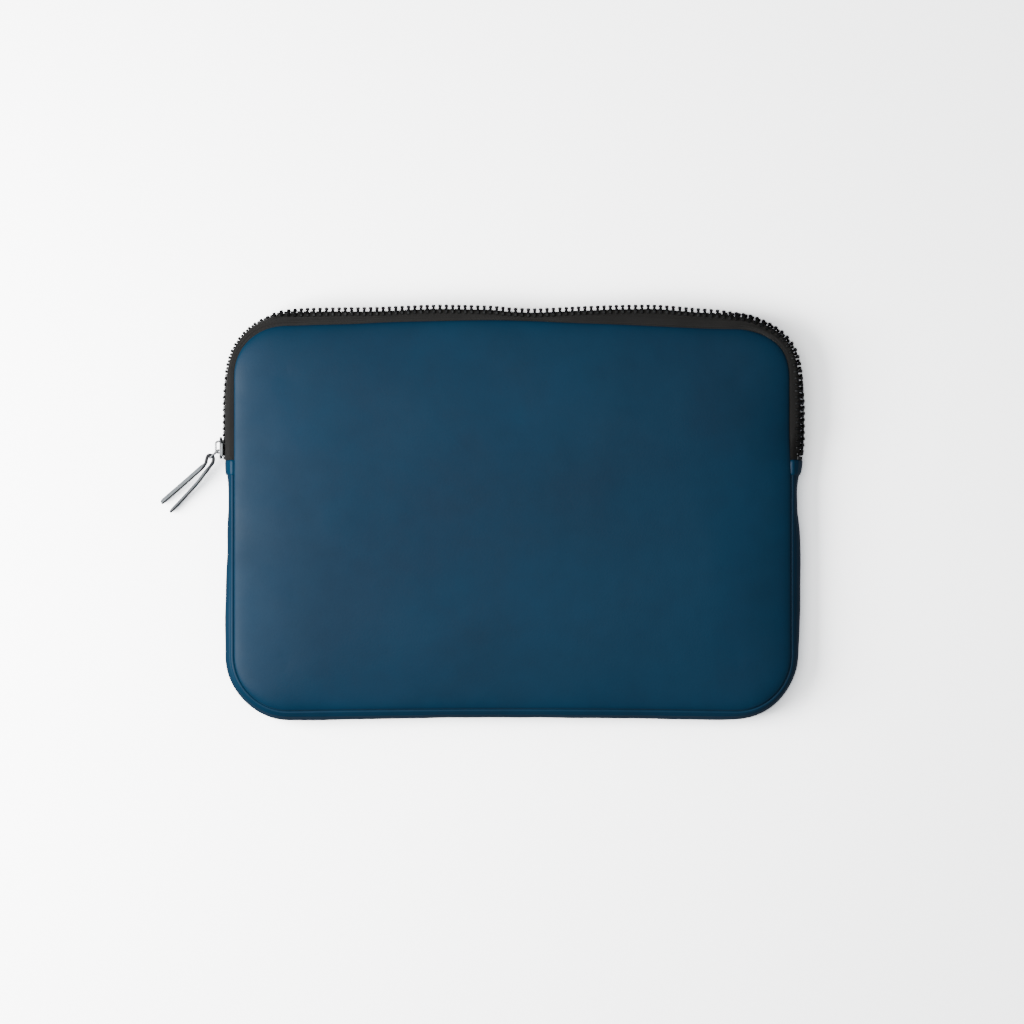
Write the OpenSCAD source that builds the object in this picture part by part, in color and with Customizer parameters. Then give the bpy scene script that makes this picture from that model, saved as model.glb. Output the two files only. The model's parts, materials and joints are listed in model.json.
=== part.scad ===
// Padded laptop sleeve, lying on its back with the zip open.
// X runs across the sleeve, Y runs from the bottom seam to the mouth, Z is up.
// The origin is the middle of the face that the sleeve lies on.

/* [Panels] */
// Width of the padded panels, side seam to side seam
panel_w = 371; // [345:1:390]
// Length of the padded panels, bottom seam to mouth seam
panel_d = 260; // [246:1:276]
// Radius of the panel corners
corner_r = 37; // [34:1:41]
// Height of the crown of the front panel above the resting face
total_h = 25.8; // [25:0.1:28]
// Thickness of the coated outer skin
skin_t = 1.0; // [0.7:0.1:1.2]
// Thickness of the lining cloth
lining_t = 0.6; // [0.4:0.1:0.8]

/* [Gusset] */
// How far the gusset bulges outside the seams at the sides and bottom
gusset_bulge = 5.8; // [4.5:0.1:6.5]
// Thickness of the thin foam inside the gusset
gusset_foam_t = 1.4; // [1:0.1:1.8]
// Length of the folded tabs that cover the gusset ends
tab_len = 9.6; // [7:0.1:13]

/* [Zip] */
// Height of the zip ends above the middle of the sleeve
zip_end_y = 37; // [32:0.5:42]
// Distance from one tooth to the next in a row
tooth_pitch = 4.2; // [4:0.1:4.6]
// Thickness of one tooth along the row
tooth_t = 2.0; // [1.6:0.1:2.2]
// Thickness of the woven zip tape
tape_t = 0.8; // [0.6:0.1:0.9]
// Length of the slider along the zip
slider_len = 14.6; // [13:0.1:15.5]

/* [Pull] */
// Direction of the metal link, measured from straight down the side of the sleeve
link_angle = 47; // [44:1:60]
// Distance between the two bars of the link
link_len = 7.6; // [7:0.1:9]
// Direction of the folded strap, measured in the same way
strap_angle = 41.6; // [40:0.1:55]
// Length of the strap tails from the fold
strap_len = 46; // [36:1:52]
// Half of the angle between the two tails
strap_splay = 5.9; // [4:0.1:8]
// Width of the strap
strap_w = 5.4; // [4.6:0.1:5.6]

/* [Hidden] */

hw = panel_w / 2;
hd = panel_d / 2;
gap = 0.05;              // hairline between the layers of one laminate
mid_z = 12;              // height of the closed zip and of the gusset's widest line
seam_h = 10;             // height of each seam above or below mid_z
front_z = mid_z + seam_h;
back_z = mid_z - seam_h;
front_lining_z = 19.4;   // underside of the front lining
back_foam_top = 5.0;
corner_n = 12;           // segments in a quarter corner

// ---- outline of the panels and the path of the zip ----

// Rounded rectangle, moved in from the seam line by i
function outline(i) = let (w = hw - i, d = hd - i, r = max(corner_r - i, 0.6))
    [for (q = [0:3]) for (k = [0:corner_n]) let (a = 90 * q + 90 * k / corner_n,
        cx = (q == 0 || q == 3) ? w - r : r - w, cy = q < 2 ? d - r : r - d)
        [cx + r * cos(a), cy + r * sin(a)]];

leg_l = hd - corner_r - zip_end_y;
arc_l = PI / 2 * corner_r;
top_l = panel_w - 2 * corner_r;
zip_l = 2 * leg_l + 2 * arc_l + top_l;

// Point [x, y] and outward normal [nx, ny] on the seam line, s millimetres from the left zip end
function zip_path(s) =
    s <= leg_l ? [-hw, zip_end_y + s, -1, 0] :
    s <= leg_l + arc_l ? let (a = 180 - 90 * (s - leg_l) / arc_l)
        [-hw + corner_r + corner_r * cos(a), hd - corner_r + corner_r * sin(a), cos(a), sin(a)] :
    s <= leg_l + arc_l + top_l ? [-hw + corner_r + s - leg_l - arc_l, hd, 0, 1] :
    s <= leg_l + 2 * arc_l + top_l ? let (a = 90 - 90 * (s - leg_l - arc_l - top_l) / arc_l)
        [hw - corner_r + corner_r * cos(a), hd - corner_r + corner_r * sin(a), cos(a), sin(a)] :
    [hw, hd - corner_r - (s - leg_l - 2 * arc_l - top_l), 1, 0];

function mix(a, b, t) = a + (b - a) * t;
function ease(a, b, s) = let (t = min(max((s - a) / (b - a), 0), 1)) t * t * (3 - 2 * t);

// The rows of teeth stand face to face beside the slider, lie open along the mouth,
// and draw together again at the right zip end.
function row_open(s) = ease(leg_l + 1, leg_l + arc_l + 36, s);
function row_end(s) = ease(zip_l - 24, zip_l - 3, s);
function row_out(s) = mix(mix(6.0, 6.2, row_open(s)), 6.4, row_end(s));
function row_z(s) = mix(mix(4.4, 9.2, row_open(s)), 5.6, row_end(s));
function row_angle(s) = mix(mix(-90, -5, row_open(s)), -42, row_end(s));

// Closed solid through a list of rings with the same number of points
module loft(rings) {
    n = len(rings[0]);
    m = len(rings);
    polyhedron(points = [for (r = rings) each r],
        faces = concat([[for (k = [n - 1:-1:0]) k]],
            [for (j = [0:m - 2]) for (k = [0:n - 1]) let (a = j * n + k, b = j * n + (k + 1) % n)
                each [[a, b, b + n], [a, b + n, a + n]]],
            [[for (k = [0:n - 1]) (m - 1) * n + k]]), convexity = 6);
}

// ---- padded panels ----

// How far the outer surface falls below the crown, at each distance in from the seam
crown = [[36, 0], [22, 0.25], [12, 0.65], [6, 1.2], [2.5, 1.9], [0.8, 2.8], [0, 3.8]];
// How far the back rises above the resting face at its rim
rim = [[12, 0], [6, 0.15], [2.5, 0.55], [0.8, 1.2], [0, 2.0]];

// Profile of the front's outer surface, d below it, as [out, z] with out measured from the seam
function crown_line(d) = concat([[-corner_r, total_h - d]],
    [for (c = crown) [-c[0], mix(front_z - d, total_h - d, (3.8 - c[1]) / 3.8)]]);
// Profile of the back's outer surface, d above it
function rim_line(d) = concat([[-corner_r, d]], [for (c = rim) [-c[0], c[1] + d]]);
function reversed(l) = [for (k = [len(l) - 1:-1:0]) l[k]];

// Rounded panel with the profile p round its rim, flat from z0 to z1 in the middle
module pad(p, z0, z1) union() {
    for (m = [0, 1]) mirror([m, 0, 0]) {
        for (n = [0, 1]) mirror([0, n, 0]) translate([hw - corner_r, hd - corner_r, 0])
            rotate_extrude(angle = 90, $fn = 64) translate([corner_r, 0]) polygon(p);
        translate([hw, hd - corner_r, 0]) rotate([90, 0, 0])
            linear_extrude(panel_d - 2 * corner_r) polygon(p);
    }
    for (n = [0, 1]) mirror([0, n, 0]) translate([corner_r - hw, hd, 0]) rotate([90, 0, 90])
        linear_extrude(panel_w - 2 * corner_r) polygon(p);
    translate([corner_r - hw, corner_r - hd, z0])
        cube([panel_w - 2 * corner_r, panel_d - 2 * corner_r, z1 - z0]);
}

module hinge_side(flap) {
    y0 = flap ? hinge_y + 0.2 : -hd - 5;
    y1 = flap ? hd + 5 : hinge_y - 0.2;
    translate([-hw - 5, y0, -5]) cube([panel_w + 10, y1 - y0, total_h + 10]);
}

module front_skin(flap) intersection() {
    pad(concat(crown_line(0), reversed(crown_line(skin_t))), total_h - skin_t, total_h);
    hinge_side(flap);
}
module front_foam(flap) {
    z0 = front_lining_z + lining_t + gap;
    intersection() {
        pad(concat(crown_line(skin_t + gap), [[0, z0], [-corner_r, z0]]), z0, total_h - skin_t - gap);
        hinge_side(flap);
    }
}
module front_lining(flap) intersection() {
    translate([0, 0, front_lining_z]) linear_extrude(lining_t) polygon(outline(0.2));
    hinge_side(flap);
}
module binding(z) translate([0, 0, z]) difference() {
    linear_extrude(0.8) polygon(outline(1));
    translate([0, 0, -1]) linear_extrude(3) polygon(outline(4));
}

module back_panel_skin() color("midnightblue")
    pad(concat(rim_line(0), reversed(rim_line(skin_t))), 0, skin_t);
module back_panel_foam() color("dimgray")
    pad(concat(rim_line(skin_t + gap), [[0, back_foam_top - gap], [-corner_r, back_foam_top - gap]]),
        skin_t + gap, back_foam_top - gap);
module back_panel_lining() color("darkslategray")
    translate([0, 0, back_foam_top]) linear_extrude(lining_t) polygon(outline(0.2));
module front_panel_skin() color("midnightblue") front_skin(false);
module front_panel_foam() color("dimgray") front_foam(false);
module front_panel_lining() color("darkslategray") front_lining(false);
module flap_skin() color("midnightblue") front_skin(true);
module flap_foam() color("dimgray") front_foam(true);
module flap_lining() color("darkslategray") front_lining(true);
module back_seam_binding() color("black") binding(back_foam_top + lining_t + gap);
module front_seam_binding() color("black") intersection() {
    binding(front_lining_z - 0.8 - gap);
    hinge_side(false);
}
module flap_seam_binding() color("black") intersection() {
    binding(front_lining_z - 0.8 - gap);
    hinge_side(true);
}

// ---- gusset: a bulging band down the sides and along the bottom ----

arc_r = (seam_h * seam_h + gusset_bulge * gusset_bulge) / (2 * gusset_bulge);
arc_c = gusset_bulge - arc_r;
function arc_side(r, n = 8) = let (a = acos((0.2 - arc_c) / r))
    [for (k = [0:n]) let (t = mix(-a, a, k / n)) [arc_c + r * cos(t), mid_z + r * sin(t)]];
function band(r0, r1) = let (p = arc_side(r0), q = arc_side(r1))
    concat(p, [for (k = [len(q) - 1:-1:0]) q[k]]);

// Ring of the profile p, [out, z] points, at the seam point c with outward normal
function place(p, c) = [for (v = p) [c[0] + c[2] * v[0], c[1] + c[3] * v[0], v[1]]];

module gusset(r0, r1) {
    p = band(r0, r1);
    union() {
        for (m = [0, 1]) mirror([m, 0, 0]) {
            // side
            translate([hw, zip_end_y, 0]) rotate([90, 0, 0])
                linear_extrude(zip_end_y + hd - corner_r) polygon(p);
            // corner
            translate([hw - corner_r, corner_r - hd, 0]) rotate([0, 0, -90])
                rotate_extrude(angle = 90, $fn = 64) translate([corner_r, 0]) polygon(p);
        }
        // bottom
        translate([corner_r - hw, -hd, 0]) rotate([90, 0, 90]) mirror([1, 0, 0])
            linear_extrude(panel_w - 2 * corner_r) polygon(p);
    }
}
module gusset_skin() color("midnightblue") gusset(arc_r, arc_r - skin_t);
module gusset_foam() color("dimgray")
    gusset(arc_r - skin_t - gap, arc_r - skin_t - gap - gusset_foam_t);
module gusset_lining() color("darkslategray")
    gusset(arc_r - skin_t - 2 * gap - gusset_foam_t,
        arc_r - skin_t - 2 * gap - gusset_foam_t - lining_t);

// Folded tab over one end of the gusset, side is -1 for left and 1 for right
module gusset_tab(side) translate([side * hw, zip_end_y, 0])
    mirror([side < 0 ? 1 : 0, 0, 0]) rotate([90, 0, 0]) linear_extrude(tab_len)
        polygon(band(arc_r + gap + 0.9, arc_r + gap));
module gusset_tab_left() color("midnightblue") gusset_tab(-1);
module gusset_tab_right() color("midnightblue") gusset_tab(1);

// ---- zip tapes and teeth ----

// Curve of a tape from its seam to its free edge, as [out, height above mid_z]
function tape_curve(s, t) = let (a = row_angle(s), dx = cos(a), dz = sin(a),
        o = [row_out(s), row_z(s)], p0 = [0.3, 9.7], p3 = o - 0.3 * [dx, dz],
        p2 = o - 5 * [dx, dz], p1 = p0 + [(p2[0] - p0[0]) * 0.7, 0.9 * (1 - row_open(s))])
    pow(1 - t, 3) * p0 + 3 * t * pow(1 - t, 2) * p1 + 3 * t * t * (1 - t) * p2 + t * t * t * p3;
function tape_normal(s, t) = let (d = tape_curve(s, min(t + 0.01, 1)) - tape_curve(s, max(t - 0.01, 0)))
    [-d[1], d[0]] / norm(d);
tape_n = 6;
// Profile of a tape, up is 1 for the front one and -1 for the back one
function tape_profile(s, up) = let (
        p = [for (k = [0:tape_n]) tape_curve(s, k / tape_n) + tape_normal(s, k / tape_n) * tape_t / 2],
        q = [for (k = [0:tape_n]) tape_curve(s, k / tape_n) - tape_normal(s, k / tape_n) * tape_t / 2],
        l = concat(p, [for (k = [tape_n:-1:0]) q[k]]))
    [for (k = [0:len(l) - 1]) let (v = l[up > 0 ? k : len(l) - 1 - k]) [v[0], mid_z + up * v[1]]];

// Stations along the zip, close together where the tape bends
function stations(s0, s1) = let (
        marks = [[leg_l, 9], [leg_l + arc_l, 2.4], [leg_l + arc_l + 36, 6],
            [zip_l - leg_l - arc_l, 30], [zip_l - leg_l, 2.4], [zip_l, 4]],
        all = concat([0], [for (j = [0:5]) let (a = j == 0 ? 0 : marks[j - 1][0], b = marks[j][0],
            n = max(1, ceil((b - a) / marks[j][1]))) for (k = [1:n]) mix(a, b, k / n)]))
    concat([s0], [for (s = all) if (s > s0 + 0.5 && s < s1 - 0.5) s], [s1]);

module tape(s0, s1, up)
    loft([for (s = stations(s0, s1)) place(tape_profile(s, up), zip_path(s))]);

// Teeth are spaced evenly both ways from the middle of the mouth
half_teeth = floor((zip_l / 2 - 4.2) / tooth_pitch - 0.5) + 1;
front_teeth = [for (j = [0:half_teeth - 1]) for (g = [-1, 1]) zip_l / 2 + g * (j + 0.5) * tooth_pitch];
back_teeth = [for (j = [-(half_teeth - 1):half_teeth - 1]) zip_l / 2 + j * tooth_pitch];
// The flap bends on the gap between two teeth that is nearest above the slider
hinge_y = zip_end_y + zip_l / 2
    - floor((zip_l / 2 - slider_len - 3) / tooth_pitch) * tooth_pitch;
hinge_s = hinge_y - zip_end_y;

// A tooth grips the edge of the tape in a fork and ends in a narrower head
tooth_shape = [[-2.2, -2.1], [1.2, -2.1], [1.6, -1.5], [3.3, -1.5], [3.8, -1], [3.8, 1], [3.3, 1.5],
    [1.6, 1.5], [1.2, 2.1], [-2.2, 2.1], [-2.2, 0.65], [-0.1, 0.65], [-0.1, -0.65], [-2.2, -0.65]];
module at_row(s, up) {
    c = zip_path(s);
    a = row_angle(s) * up;
    o = row_out(s);
    multmatrix([[c[2] * cos(a), -c[2] * sin(a), c[3], c[0] + c[2] * o],
                [c[3] * cos(a), -c[3] * sin(a), -c[2], c[1] + c[3] * o],
                [sin(a), cos(a), 0, mid_z + up * row_z(s)],
                [0, 0, 0, 1]]) children();
}
module tooth(s, up, t = tooth_t)
    at_row(s, up) translate([0, 0, -t / 2]) linear_extrude(t) polygon(tooth_shape);

module zip_tape_back() color("#1c1c1e") tape(0.15, zip_l - 0.15, -1);
// Short lengths of the front tape below the bending line
module zip_tape_left_stub() color("#1c1c1e")
    translate([-hw, hinge_y - 0.2, 0]) mirror([1, 0, 0]) rotate([90, 0, 0])
        linear_extrude(hinge_s - 0.35) polygon(tape_profile(0, 1));
module zip_tape_right_stub() color("#1c1c1e") tape(zip_l - hinge_s + 0.2, zip_l - 0.15, 1);
module zip_tape_front() color("#1c1c1e") tape(hinge_s + 0.2, zip_l - hinge_s - 0.2, 1);
module zip_teeth_back() color("#2b2b2d") for (s = back_teeth) tooth(s, -1);
module zip_teeth_front_ends() color("#2b2b2d")
    for (s = front_teeth) if (s < hinge_s || s > zip_l - hinge_s) tooth(s, 1);
module zip_teeth_front() color("#2b2b2d")
    for (s = front_teeth) if (s > hinge_s && s < zip_l - hinge_s) tooth(s, 1);
// Staple across both tapes, under the slider's tail
module zip_bottom_stop() color("#2b2b2d")
    translate([-hw - 7.2, zip_end_y + 0.8, mid_z - 4.5]) cube([2.4, 2, 9]);
// Clamps at the right ends of the two rows
module zip_top_stops() color("#2b2b2d") for (up = [-1, 1]) tooth(zip_l - 1.6, up, 2.2);

// ---- slider and pull ----

chain_x = -hw - 6;
slider_y0 = zip_end_y + 1.2;
slider_y1 = slider_y0 + slider_len;

// Prism between x0 and x1 with an outline of [y, z] points
module yz_plate(x0, x1, pts) translate([x0, 0, 0]) rotate([90, 0, 90]) linear_extrude(x1 - x0) polygon(pts);

slider_outline = [[slider_y0, mid_z - 6], [slider_y0 + 1.6, mid_z - 8.1], [slider_y1 - 4, mid_z - 8.1],
    [slider_y1 - 0.8, mid_z - 6.2], [slider_y1, mid_z - 3.6], [slider_y1 - 1.2, mid_z],
    [slider_y1, mid_z + 3.6], [slider_y1 - 0.8, mid_z + 6.2], [slider_y1 - 4, mid_z + 8.1],
    [slider_y0 + 1.6, mid_z + 8.1], [slider_y0, mid_z + 6]];

module slider_body() color("#55585c") union() {
    yz_plate(chain_x - 3.7, chain_x - 2.5, slider_outline);
    yz_plate(chain_x + 2.5, chain_x + 3.7, slider_outline);
    // post that parts the two rows
    yz_plate(chain_x - 2.7, chain_x + 2.7, [[slider_y1 - 5.4, mid_z], [slider_y1 - 4.2, mid_z - 0.3],
        [slider_y1 - 2, mid_z - 0.3], [slider_y1 - 2, mid_z + 0.3], [slider_y1 - 4.2, mid_z + 0.3]]);
    // flanges that hold the rows in, with a slot between them for each tape
    for (z = [mid_z - 8.1, mid_z + 7]) for (x = [chain_x - 2.7, chain_x + 1.35])
        translate([x, slider_y0 + 1.6, z]) cube([1.35, slider_len - 5.6, 1.1]);
}

bail_y0 = slider_y0 + 3.3;
bail_y1 = slider_y1 - 2.3;
bail_x = chain_x - 3.75;
module slider_bail() color("#8d9094") translate([0, 0, mid_z - 1.6]) linear_extrude(3.2)
    polygon([[bail_x, bail_y0], [bail_x - 2.2, bail_y0 + 0.4], [bail_x - 3.4, bail_y0 + 1.6],
        [bail_x - 3.4, bail_y1 - 1.6], [bail_x - 2.2, bail_y1 - 0.4], [bail_x, bail_y1],
        [bail_x, bail_y1 - 1.2], [bail_x - 1.8, bail_y1 - 1.4], [bail_x - 2.3, bail_y1 - 2],
        [bail_x - 2.3, bail_y0 + 2], [bail_x - 1.8, bail_y0 + 1.4], [bail_x, bail_y0 + 1.2]]);

pivot = [bail_x - 1.15, bail_y0 + 2.5, mid_z];
fold = pivot + link_len * [-sin(link_angle), -cos(link_angle), 0];

// Rectangle with cut corners, from -a to b along and h each way across
function cut_rect(a, b, h, c) = [[-a, c - h], [c - a, -h], [b - c, -h], [b, c - h],
    [b, h - c], [b - c, h], [c - a, h], [-a, h - c]];
module pull_link() color("#b9bcc0")
    translate(pivot) rotate([0, 0, 270 - link_angle]) rotate([90, 0, 0]) difference() {
        translate([0, 0, -0.6]) linear_extrude(1.2) polygon(cut_rect(0.6, link_len + 0.6, 4.4, 1));
        translate([0, 0, -2]) linear_extrude(4) polygon(cut_rect(-0.6, link_len - 0.6, 3.1, 0.2));
    }

strap_t = 1.8;
drop = mid_z - strap_w / 2 - 0.8;   // the tails sink until they almost touch what the sleeve lies on
// Cross-section of a tail at l along the strap, off to the side g
module tail_cut(l, off, z, turn) translate([l, off, z]) rotate([0, 0, turn])
    translate([-0.1, -strap_t / 2, -strap_w / 2]) cube([0.2, strap_t, strap_w]);
module pull_strap() color("#3b444e") translate(fold) rotate([0, 0, 270 - strap_angle]) union() {
    rotate([0, 0, 90]) rotate_extrude(angle = 180, $fn = 48)
        translate([1.1, -strap_w / 2]) square([strap_t, strap_w]);
    for (g = [-1, 1]) {
        hull() { tail_cut(0, g * 2, 0, 0); tail_cut(9, g * 1.05, -drop * 0.12, 0); }
        hull() { tail_cut(9, g * 1.05, -drop * 0.12, 0);
            tail_cut(strap_len * cos(strap_splay), g * strap_len * sin(strap_splay), -drop, g * strap_splay); }
    }
}

back_panel_skin();
back_panel_foam();
back_panel_lining();
front_panel_skin();
front_panel_foam();
front_panel_lining();
flap_skin();
flap_foam();
flap_lining();
gusset_skin();
gusset_foam();
gusset_lining();
gusset_tab_left();
gusset_tab_right();
back_seam_binding();
front_seam_binding();
flap_seam_binding();
zip_tape_back();
zip_tape_front();
zip_tape_left_stub();
zip_tape_right_stub();
zip_teeth_back();
zip_teeth_front_ends();
zip_teeth_front();
zip_bottom_stop();
zip_top_stops();
slider_body();
slider_bail();
pull_link();
pull_strap();
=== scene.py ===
import json
import math

import bmesh
import bpy
import numpy as np
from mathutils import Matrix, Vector

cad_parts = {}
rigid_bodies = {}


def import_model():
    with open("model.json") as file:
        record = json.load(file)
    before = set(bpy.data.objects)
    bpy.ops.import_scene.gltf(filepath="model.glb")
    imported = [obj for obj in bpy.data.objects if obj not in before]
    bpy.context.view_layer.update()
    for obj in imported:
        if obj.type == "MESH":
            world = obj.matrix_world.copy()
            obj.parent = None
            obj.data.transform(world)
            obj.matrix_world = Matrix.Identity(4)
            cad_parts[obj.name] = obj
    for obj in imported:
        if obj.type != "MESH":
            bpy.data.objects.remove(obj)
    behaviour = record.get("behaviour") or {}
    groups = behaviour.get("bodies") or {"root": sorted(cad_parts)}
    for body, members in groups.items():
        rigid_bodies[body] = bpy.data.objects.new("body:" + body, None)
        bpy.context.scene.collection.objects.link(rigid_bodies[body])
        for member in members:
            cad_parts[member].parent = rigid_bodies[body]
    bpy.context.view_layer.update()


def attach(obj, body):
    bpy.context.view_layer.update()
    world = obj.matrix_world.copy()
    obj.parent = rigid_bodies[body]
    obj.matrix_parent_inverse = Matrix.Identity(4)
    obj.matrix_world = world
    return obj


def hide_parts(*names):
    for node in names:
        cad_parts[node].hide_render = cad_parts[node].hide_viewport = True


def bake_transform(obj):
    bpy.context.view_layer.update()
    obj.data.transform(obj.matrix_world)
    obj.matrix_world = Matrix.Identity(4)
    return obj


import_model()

cad_names = {o.name for o in bpy.data.objects}
scene = bpy.context.scene

# ---------------------------------------------------------------- sizes, in millimetres as in the CAD
HW, HD, CR = 185.5, 130.0, 37.0
MID, TOP, SEAM = 12.0, 25.8, 22.0
SKIN, LINING = 1.0, 0.6
FRONT_LINING, BACK_FOAM = 19.4, 5.0
ZIP_Y = 37.0
PITCH = 4.2
LEG = HD - CR - ZIP_Y
ARC = math.pi / 2 * CR
TOPL = 2 * (HW - CR)
ZIP_L = 2 * LEG + 2 * ARC + TOPL
HINGE_Y = ZIP_Y + ZIP_L / 2 - math.floor((ZIP_L / 2 - 14.6 - 3) / PITCH) * PITCH
CHAIN_X = -HW - 6
SL0, SL1 = ZIP_Y + 1.2, ZIP_Y + 15.8
HINGE_Z = 26.0
BLEND_ZIP = ((0, 0.0535, 0.026), (0, 0.0610, 0.026))


def table(xs, ys):
    """Smooth curve through a short table, without overshoot."""
    xs, ys = np.array(xs, float), np.array(ys, float)
    h, d = np.diff(xs), np.diff(ys) / np.diff(xs)
    m = np.zeros(len(xs))
    m[1:-1] = np.where(d[:-1] * d[1:] > 0, 2 * d[:-1] * d[1:] / np.where(np.abs(d[:-1] + d[1:]) > 1e-12, d[:-1] + d[1:], 1), 0)

    def f(x):
        x = np.clip(np.asarray(x, float), xs[0], xs[-1])
        k = np.clip(np.searchsorted(xs, x, side="right") - 1, 0, len(xs) - 2)
        t = (x - xs[k]) / h[k]
        return ((2 * t**3 - 3 * t**2 + 1) * ys[k] + (t**3 - 2 * t**2 + t) * h[k] * m[k]
                + (3 * t**2 - 2 * t**3) * ys[k + 1] + (t**3 - t**2) * h[k] * m[k + 1])
    return f


def ease(a, b, x):
    t = np.clip((np.asarray(x, float) - a) / (b - a), 0, 1)
    return t * t * (3 - 2 * t)


def mix(a, b, t):
    return a + (b - a) * t


# How far the mouth seam of the front panel is drawn in from the straight outline, along X
seam_in = table([-186, -178, -165, -148, -135, -108, -82, -55, -15, 12, 38, 65, 92, 118, 132, 145, 158, 168, 176, 182, 186],
                [0.0, 0.8, 2.0, 3.1, 2.7, 2.0, 0.8, 0.1, -0.6, 0.0, 1.2, 2.1, 3.3, 4.6, 5.2, 5.4, 5.3, 4.4, 3.0, 1.6, 0.8])


def drawn(x, y):
    """Movement of the front panel's fabric in the plane, towards the middle near the mouth."""
    x, y = np.asarray(x, float), np.asarray(y, float)
    dy = -seam_in(x) * ease(25, 128, y)
    dx = -1.1 * ease(110, 184, x) * ease(20, 60, y) * (1 - ease(96, 122, y))
    return dx, dy


def bowed(p):
    """The bottom seam bows in a little in its middle. It acts on every sewn piece."""
    p = np.array(p, float)
    w = np.clip(1 - (p[:, 0] / 160) ** 2, 0, 1) * ease(-40, -130, p[:, 1])
    p[:, 1] += 1.5 * w
    return p


# ---------------------------------------------------------------- materials
def nodes_of(name):
    m = bpy.data.materials.new(name)
    m.use_nodes = True
    t = m.node_tree
    t.nodes.clear()
    out = t.nodes.new("ShaderNodeOutputMaterial")
    b = t.nodes.new("ShaderNodeBsdfPrincipled")
    t.links.new(b.outputs[0], out.inputs[0])
    return m, t, b


class Net:
    def __init__(self, t):
        self.t = t

    def node(self, kind, ins=None, **props):
        n = self.t.nodes.new(kind)
        for k, v in props.items():
            setattr(n, k, v)
        for k, v in (ins or {}).items():
            if isinstance(v, bpy.types.NodeSocket):
                self.t.links.new(v, n.inputs[k])
            else:
                n.inputs[k].default_value = v
        return n

    def coords(self, scale=(1, 1, 1)):
        c = self.node("ShaderNodeTexCoord").outputs["Object"]
        return self.node("ShaderNodeMapping", {"Vector": c, "Scale": scale}).outputs[0]

    def attr(self, name):
        return self.node("ShaderNodeAttribute", attribute_name=name)

    def noise(self, vec, scale, detail=3, rough=0.5):
        return self.node("ShaderNodeTexNoise", {"Vector": vec, "Scale": scale, "Detail": detail, "Roughness": rough}).outputs["Fac"]

    def voronoi(self, vec, scale, feature="F1"):
        n = self.node("ShaderNodeTexVoronoi", {"Vector": vec, "Scale": scale}, feature=feature)
        return n.outputs["Distance"]

    def math(self, op, a, b=0.0, c=0.0):
        return self.node("ShaderNodeMath", {0: a, 1: b, 2: c}, operation=op).outputs[0]

    def ramp(self, fac, stops):
        n = self.node("ShaderNodeValToRGB", {"Fac": fac})
        e = n.color_ramp.elements
        while len(e) > len(stops):
            e.remove(e[-1])
        while len(e) < len(stops):
            e.new(0.5)
        for el, (p, c) in zip(e, stops):
            el.position = p
            el.color = (*c, 1) if len(c) == 3 else c
        return n.outputs["Color"]

    def mixc(self, fac, a, b, blend="MIX"):
        n = self.node("ShaderNodeMix", data_type="RGBA", blend_type=blend)
        for k, v in (("Factor", fac), ("A", a), ("B", b)):
            sock = [s for s in n.inputs if s.name == k and (s.type == "RGBA" or k == "Factor" and s.type == "VALUE")][0]
            if isinstance(v, bpy.types.NodeSocket):
                self.t.links.new(v, sock)
            else:
                sock.default_value = v if k == "Factor" else (*v, 1)
        return [s for s in n.outputs if s.type == "RGBA"][0]

    def range(self, v, a, b, c, d):
        return self.node("ShaderNodeMapRange", {"Value": v, "From Min": a, "From Max": b, "To Min": c, "To Max": d}).outputs[0]

    def bump(self, height, strength, distance, normal=None):
        ins = {"Height": height, "Strength": strength, "Distance": distance}
        if normal is not None:
            ins["Normal"] = normal
        return self.node("ShaderNodeBump", ins).outputs[0]

    def link(self, out, sock):
        self.t.links.new(out, sock)


def lin(r, g, b):
    return tuple((c / 255 / 12.92) if c <= 10 else ((c / 255 + 0.055) / 1.055) ** 2.4 for c in (r, g, b))


def skin_material(name, deep, mid, rough=(0.43, 0.55), worn=0.0):
    """Smooth coated cloth with a fine pressed grain and a satin finish."""
    m, t, b = nodes_of(name)
    n = Net(t)
    c = n.coords()
    cloud = n.noise(c, 11, 3, 0.55)
    fine = n.noise(c, 70, 4, 0.6)
    col = n.ramp(n.math("MULTIPLY_ADD", fine, 0.25, n.math("MULTIPLY", cloud, 0.85)), [(0.30, deep), (0.74, mid)])
    cells = n.voronoi(c, 1150, "SMOOTH_F1")
    pores = n.noise(c, 3600, 2, 0.6)
    dark = n.ramp(cells, [(0.0, (1, 1, 1)), (0.55, (0.97, 0.97, 0.97)), (0.9, (0.80, 0.82, 0.84))])
    n.link(n.mixc(0.55, col, dark, "MULTIPLY"), b.inputs["Base Color"])
    n.link(n.range(n.noise(c, 26, 4, 0.6), 0.3, 0.7, rough[0], rough[1]), b.inputs["Roughness"])
    h = n.math("MULTIPLY_ADD", pores, 0.35, n.math("MULTIPLY", cells, -1.0))
    soft = n.bump(n.noise(c, 34, 2, 0.5), 0.22, 0.0006)
    n.link(n.bump(h, 0.30, 0.00012, soft), b.inputs["Normal"])
    b.inputs["Specular IOR Level"].default_value = 0.25
    b.inputs["Sheen Weight"].default_value = 0.05
    b.inputs["Sheen Roughness"].default_value = 0.45
    return m


def foam_material(name, dark, light):
    m, t, b = nodes_of(name)
    n = Net(t)
    c = n.coords()
    cells = n.voronoi(c, 1500)
    big = n.noise(c, 90, 3)
    col = n.ramp(n.math("MULTIPLY_ADD", big, 0.4, cells), [(0.15, light), (0.85, dark)])
    n.link(col, b.inputs["Base Color"])
    n.link(n.bump(cells, 0.7, 0.0003), b.inputs["Normal"])
    b.inputs["Roughness"].default_value = 0.92
    b.inputs["Specular IOR Level"].default_value = 0.15
    return m


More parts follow.
